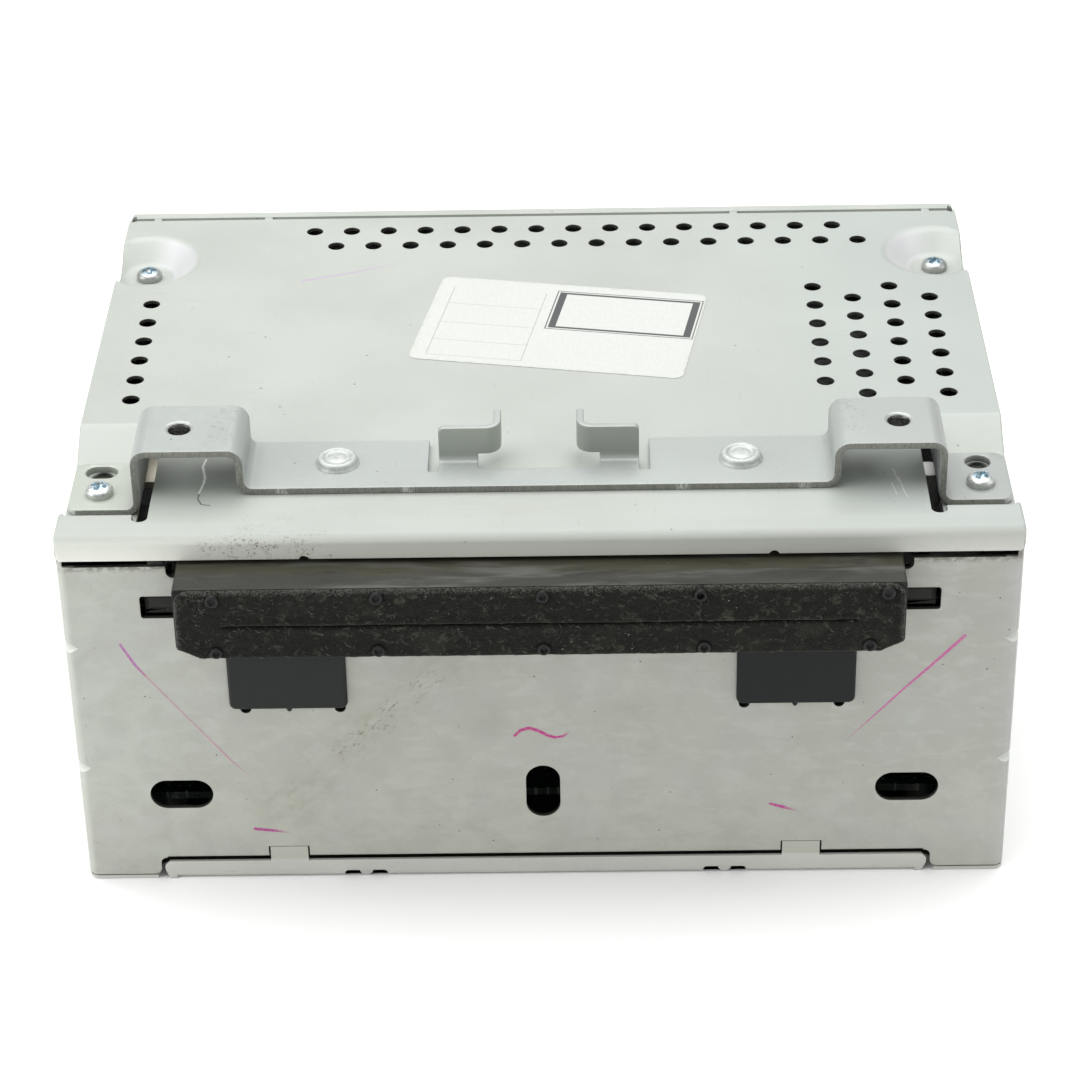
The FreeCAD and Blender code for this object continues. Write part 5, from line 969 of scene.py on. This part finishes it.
def slit_z(u):
    return SLIT + 0.10 * pn(u, 0, 9.0, 1, 1) + 0.05 * pn(u, 0, 2.2, 1, 2)


def slit_open(u):
    return 1 - ease(abs(u), 57.6, 59.4)


def felt_lo(u):
    a = abs(u)
    z = ZLO if a < 63.2 else (ZLO + (a - 63.2) / 2.5 * 1.35 if a < 65.7 else 59.5 + (a - 65.7) / 1.8 * 0.8)
    return z + 0.07 * pn(u, 1, 0.9, 1, 3)


def felt_hi(u):
    a = abs(u)
    z = ZHI
    if a > XH - 2.8:
        q = min(1.0, (a - XH + 2.8) / 2.8)
        z -= 2.8 * (1 - math.sqrt(max(0.0, 1 - q * q)))
    return z + 0.07 * pn(u, 5, 0.9, 1, 4)


def felt_thick(u, v):
    lo, hi = felt_lo(u), felt_hi(u)
    d = max(0.0, min(hi - v, v - lo, XH - abs(u)))
    k = min(1.0, d / 0.9)
    t = 1.06 - 0.62 * (1 - math.sqrt(max(0.0, 1 - (1 - k) ** 2)))
    f, s = slit_open(u), slit_z(u)
    ds = abs(v - s)
    k = min(1.0, ds / 0.5)
    t -= f * 0.78 * (1 - math.sqrt(max(0.0, 1 - (1 - k) ** 2)))
    t += f * (0.13 if v > s else 0.06) * math.exp(-((ds - 0.9) / 0.6) ** 2)
    for x, z in PINS:
        q = ((u - x) ** 2 + (v - z) ** 2)
        if q < 12:
            t -= 0.36 * math.exp(-q / 2.6)
    t += 0.055 * pn(u, v, 1.2, 0.9, 5) + 0.045 * pn(u, v, 0.5, 0.42, 6) + 0.05 * pn(u, v, 16, 7, 7)
    return min(t, 1.3)


def felt_piece(name, us, rows_of, count):
    """Closed slab: a shaped face in front, a flat back, and walls round it; columns us, rows_of(u) gives the heights."""
    bm = bmesh.new()
    front, back = [], []
    for u in us:
        vs = rows_of(u)
        front.append([bm.verts.new(P(u, FB - felt_thick(u, v), v)) for v in vs])
        back.append([bm.verts.new(P(u, FB, v)) for v in vs])
    nu, nv = len(us), len(front[0])
    for i in range(nu - 1):
        for j in range(nv - 1):
            bm.faces.new((front[i][j], front[i + 1][j], front[i + 1][j + 1], front[i][j + 1]))
            bm.faces.new((back[i][j], back[i][j + 1], back[i + 1][j + 1], back[i + 1][j]))
        for j in (0, nv - 1):
            bm.faces.new((front[i][j], back[i][j], back[i + 1][j], front[i + 1][j]))
    for j in range(nv - 1):
        for i in (0, nu - 1):
            bm.faces.new((front[i][j], front[i][j + 1], back[i][j + 1], back[i][j]))
    base = len(bm.faces)
    # stray fibres caught in the pile, as thin closed slivers
    for _ in range(count):
        u = rng.uniform(min(us) + 0.6, max(us) - 0.6)
        lo, hi = rows_of(u)[0], rows_of(u)[-1]
        v = rng.uniform(lo, hi) if rng.random() < 0.85 else hi - abs(rng.gauss(0, 0.4)) - 0.1
        a, L, bend = rng.uniform(0, math.pi), rng.uniform(0.3, 1.2), rng.uniform(-1.1, 1.1)
        r = rng.uniform(0.018, 0.035)
        prev = None
        for i in range(5):
            q = i / 4 - 0.5
            uu = u + L * q * math.cos(a) - bend * L * q * q * math.sin(a)
            vv = v + L * q * math.sin(a) + bend * L * q * q * math.cos(a)
            vv = min(max(vv, lo + 0.05), hi - 0.05)
            c = P(uu, FB - felt_thick(uu, vv) - 0.02, vv)
            ring = [bm.verts.new(c + Vector((r * math.cos(t), r * math.sin(t), r * math.sin(t + 1.1))) * MM) for t in (0, 2.1, 4.2)]
            if prev:
                for k in range(3):
                    bm.faces.new((prev[k], prev[(k + 1) % 3], ring[(k + 1) % 3], ring[k]))
            else:
                bm.faces.new(ring)
            prev = ring
        bm.faces.new(list(reversed(prev)))
    bmesh.ops.recalc_face_normals(bm, faces=bm.faces)
    me = bpy.data.meshes.new(name)
    bm.faces.ensure_lookup_table()
    for f in bm.faces[base:]:
        f.material_index = 1
    bm.to_mesh(me)
    bm.free()
    me.materials.append(M["felt"])
    me.materials.append(M["lint"])
    smooth(me, 65)
    o = bpy.data.objects.new(name, me)
    bpy.context.scene.collection.objects.link(o)
    return o


NL, NU = 26, 27
STEP_U = 0.42


def lower_rows(u, gap=True):
    a, b = felt_lo(u), slit_z(u) - (0.07 * slit_open(u) if gap else 0.0)
    return [a + (b - a) * i / NL for i in range(NL + 1)]


def upper_rows(u, gap=True):
    a, b = slit_z(u) + (0.07 * slit_open(u) if gap else 0.0), felt_hi(u)
    return [a + (b - a) * i / NU for i in range(NU + 1)]


def both_rows(u):
    return lower_rows(u, False) + upper_rows(u, False)[1:]


mid = [-SLIT_END + 2 * SLIT_END * i / 284 for i in range(285)]
end = [SLIT_END + (XH - SLIT_END) * (1 - (1 - i / 22) ** 1.25) for i in range(23)]
upper = felt_piece("felt_upper", mid, upper_rows, 620)
lower = felt_piece("felt_lower", mid, lower_rows, 420)
right_end = felt_piece("felt_end_right", end, both_rows, 90)
left_end = felt_piece("felt_end_left", [-u for u in reversed(end)], both_rows, 90)
for o in (right_end, left_end):
    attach(o, "case")
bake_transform(upper)
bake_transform(lower)
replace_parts(upper, "felt_surround", "felt_lip_upper")
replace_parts(lower, "felt_lip_lower")

bm = bmesh.new()
for i, (x, z) in enumerate(PINS):
    s = rng.uniform(0.94, 1.04)
    deep = 1.15 if i == 3 else 1.86 + rng.uniform(-0.12, 0.08)
    prof = [(0, 0), (0.65, 0), (0.65, 1.15), (1.12 * s, 1.22), (1.28 * s, 1.42), (1.33 * s, 1.75), (1.27 * s, 2.12), (1.12 * s, 2.34),
            (0.95 * s, 2.42), (0.80 * s, 2.36), (0.66 * s, 2.15), (0.52 * s, deep + 0.10), (0.28, deep + 0.02), (0, deep)]
    lathe(bm, prof, P(x + rng.uniform(-0.06, 0.06), -8.1, z + rng.uniform(-0.06, 0.06)), (rng.uniform(-0.06, 0.06), -1, rng.uniform(-0.06, 0.06)), 36)
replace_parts(finish_mesh(bm, "heat_stake_cups", "case", "stake", 60), "heat_stakes")

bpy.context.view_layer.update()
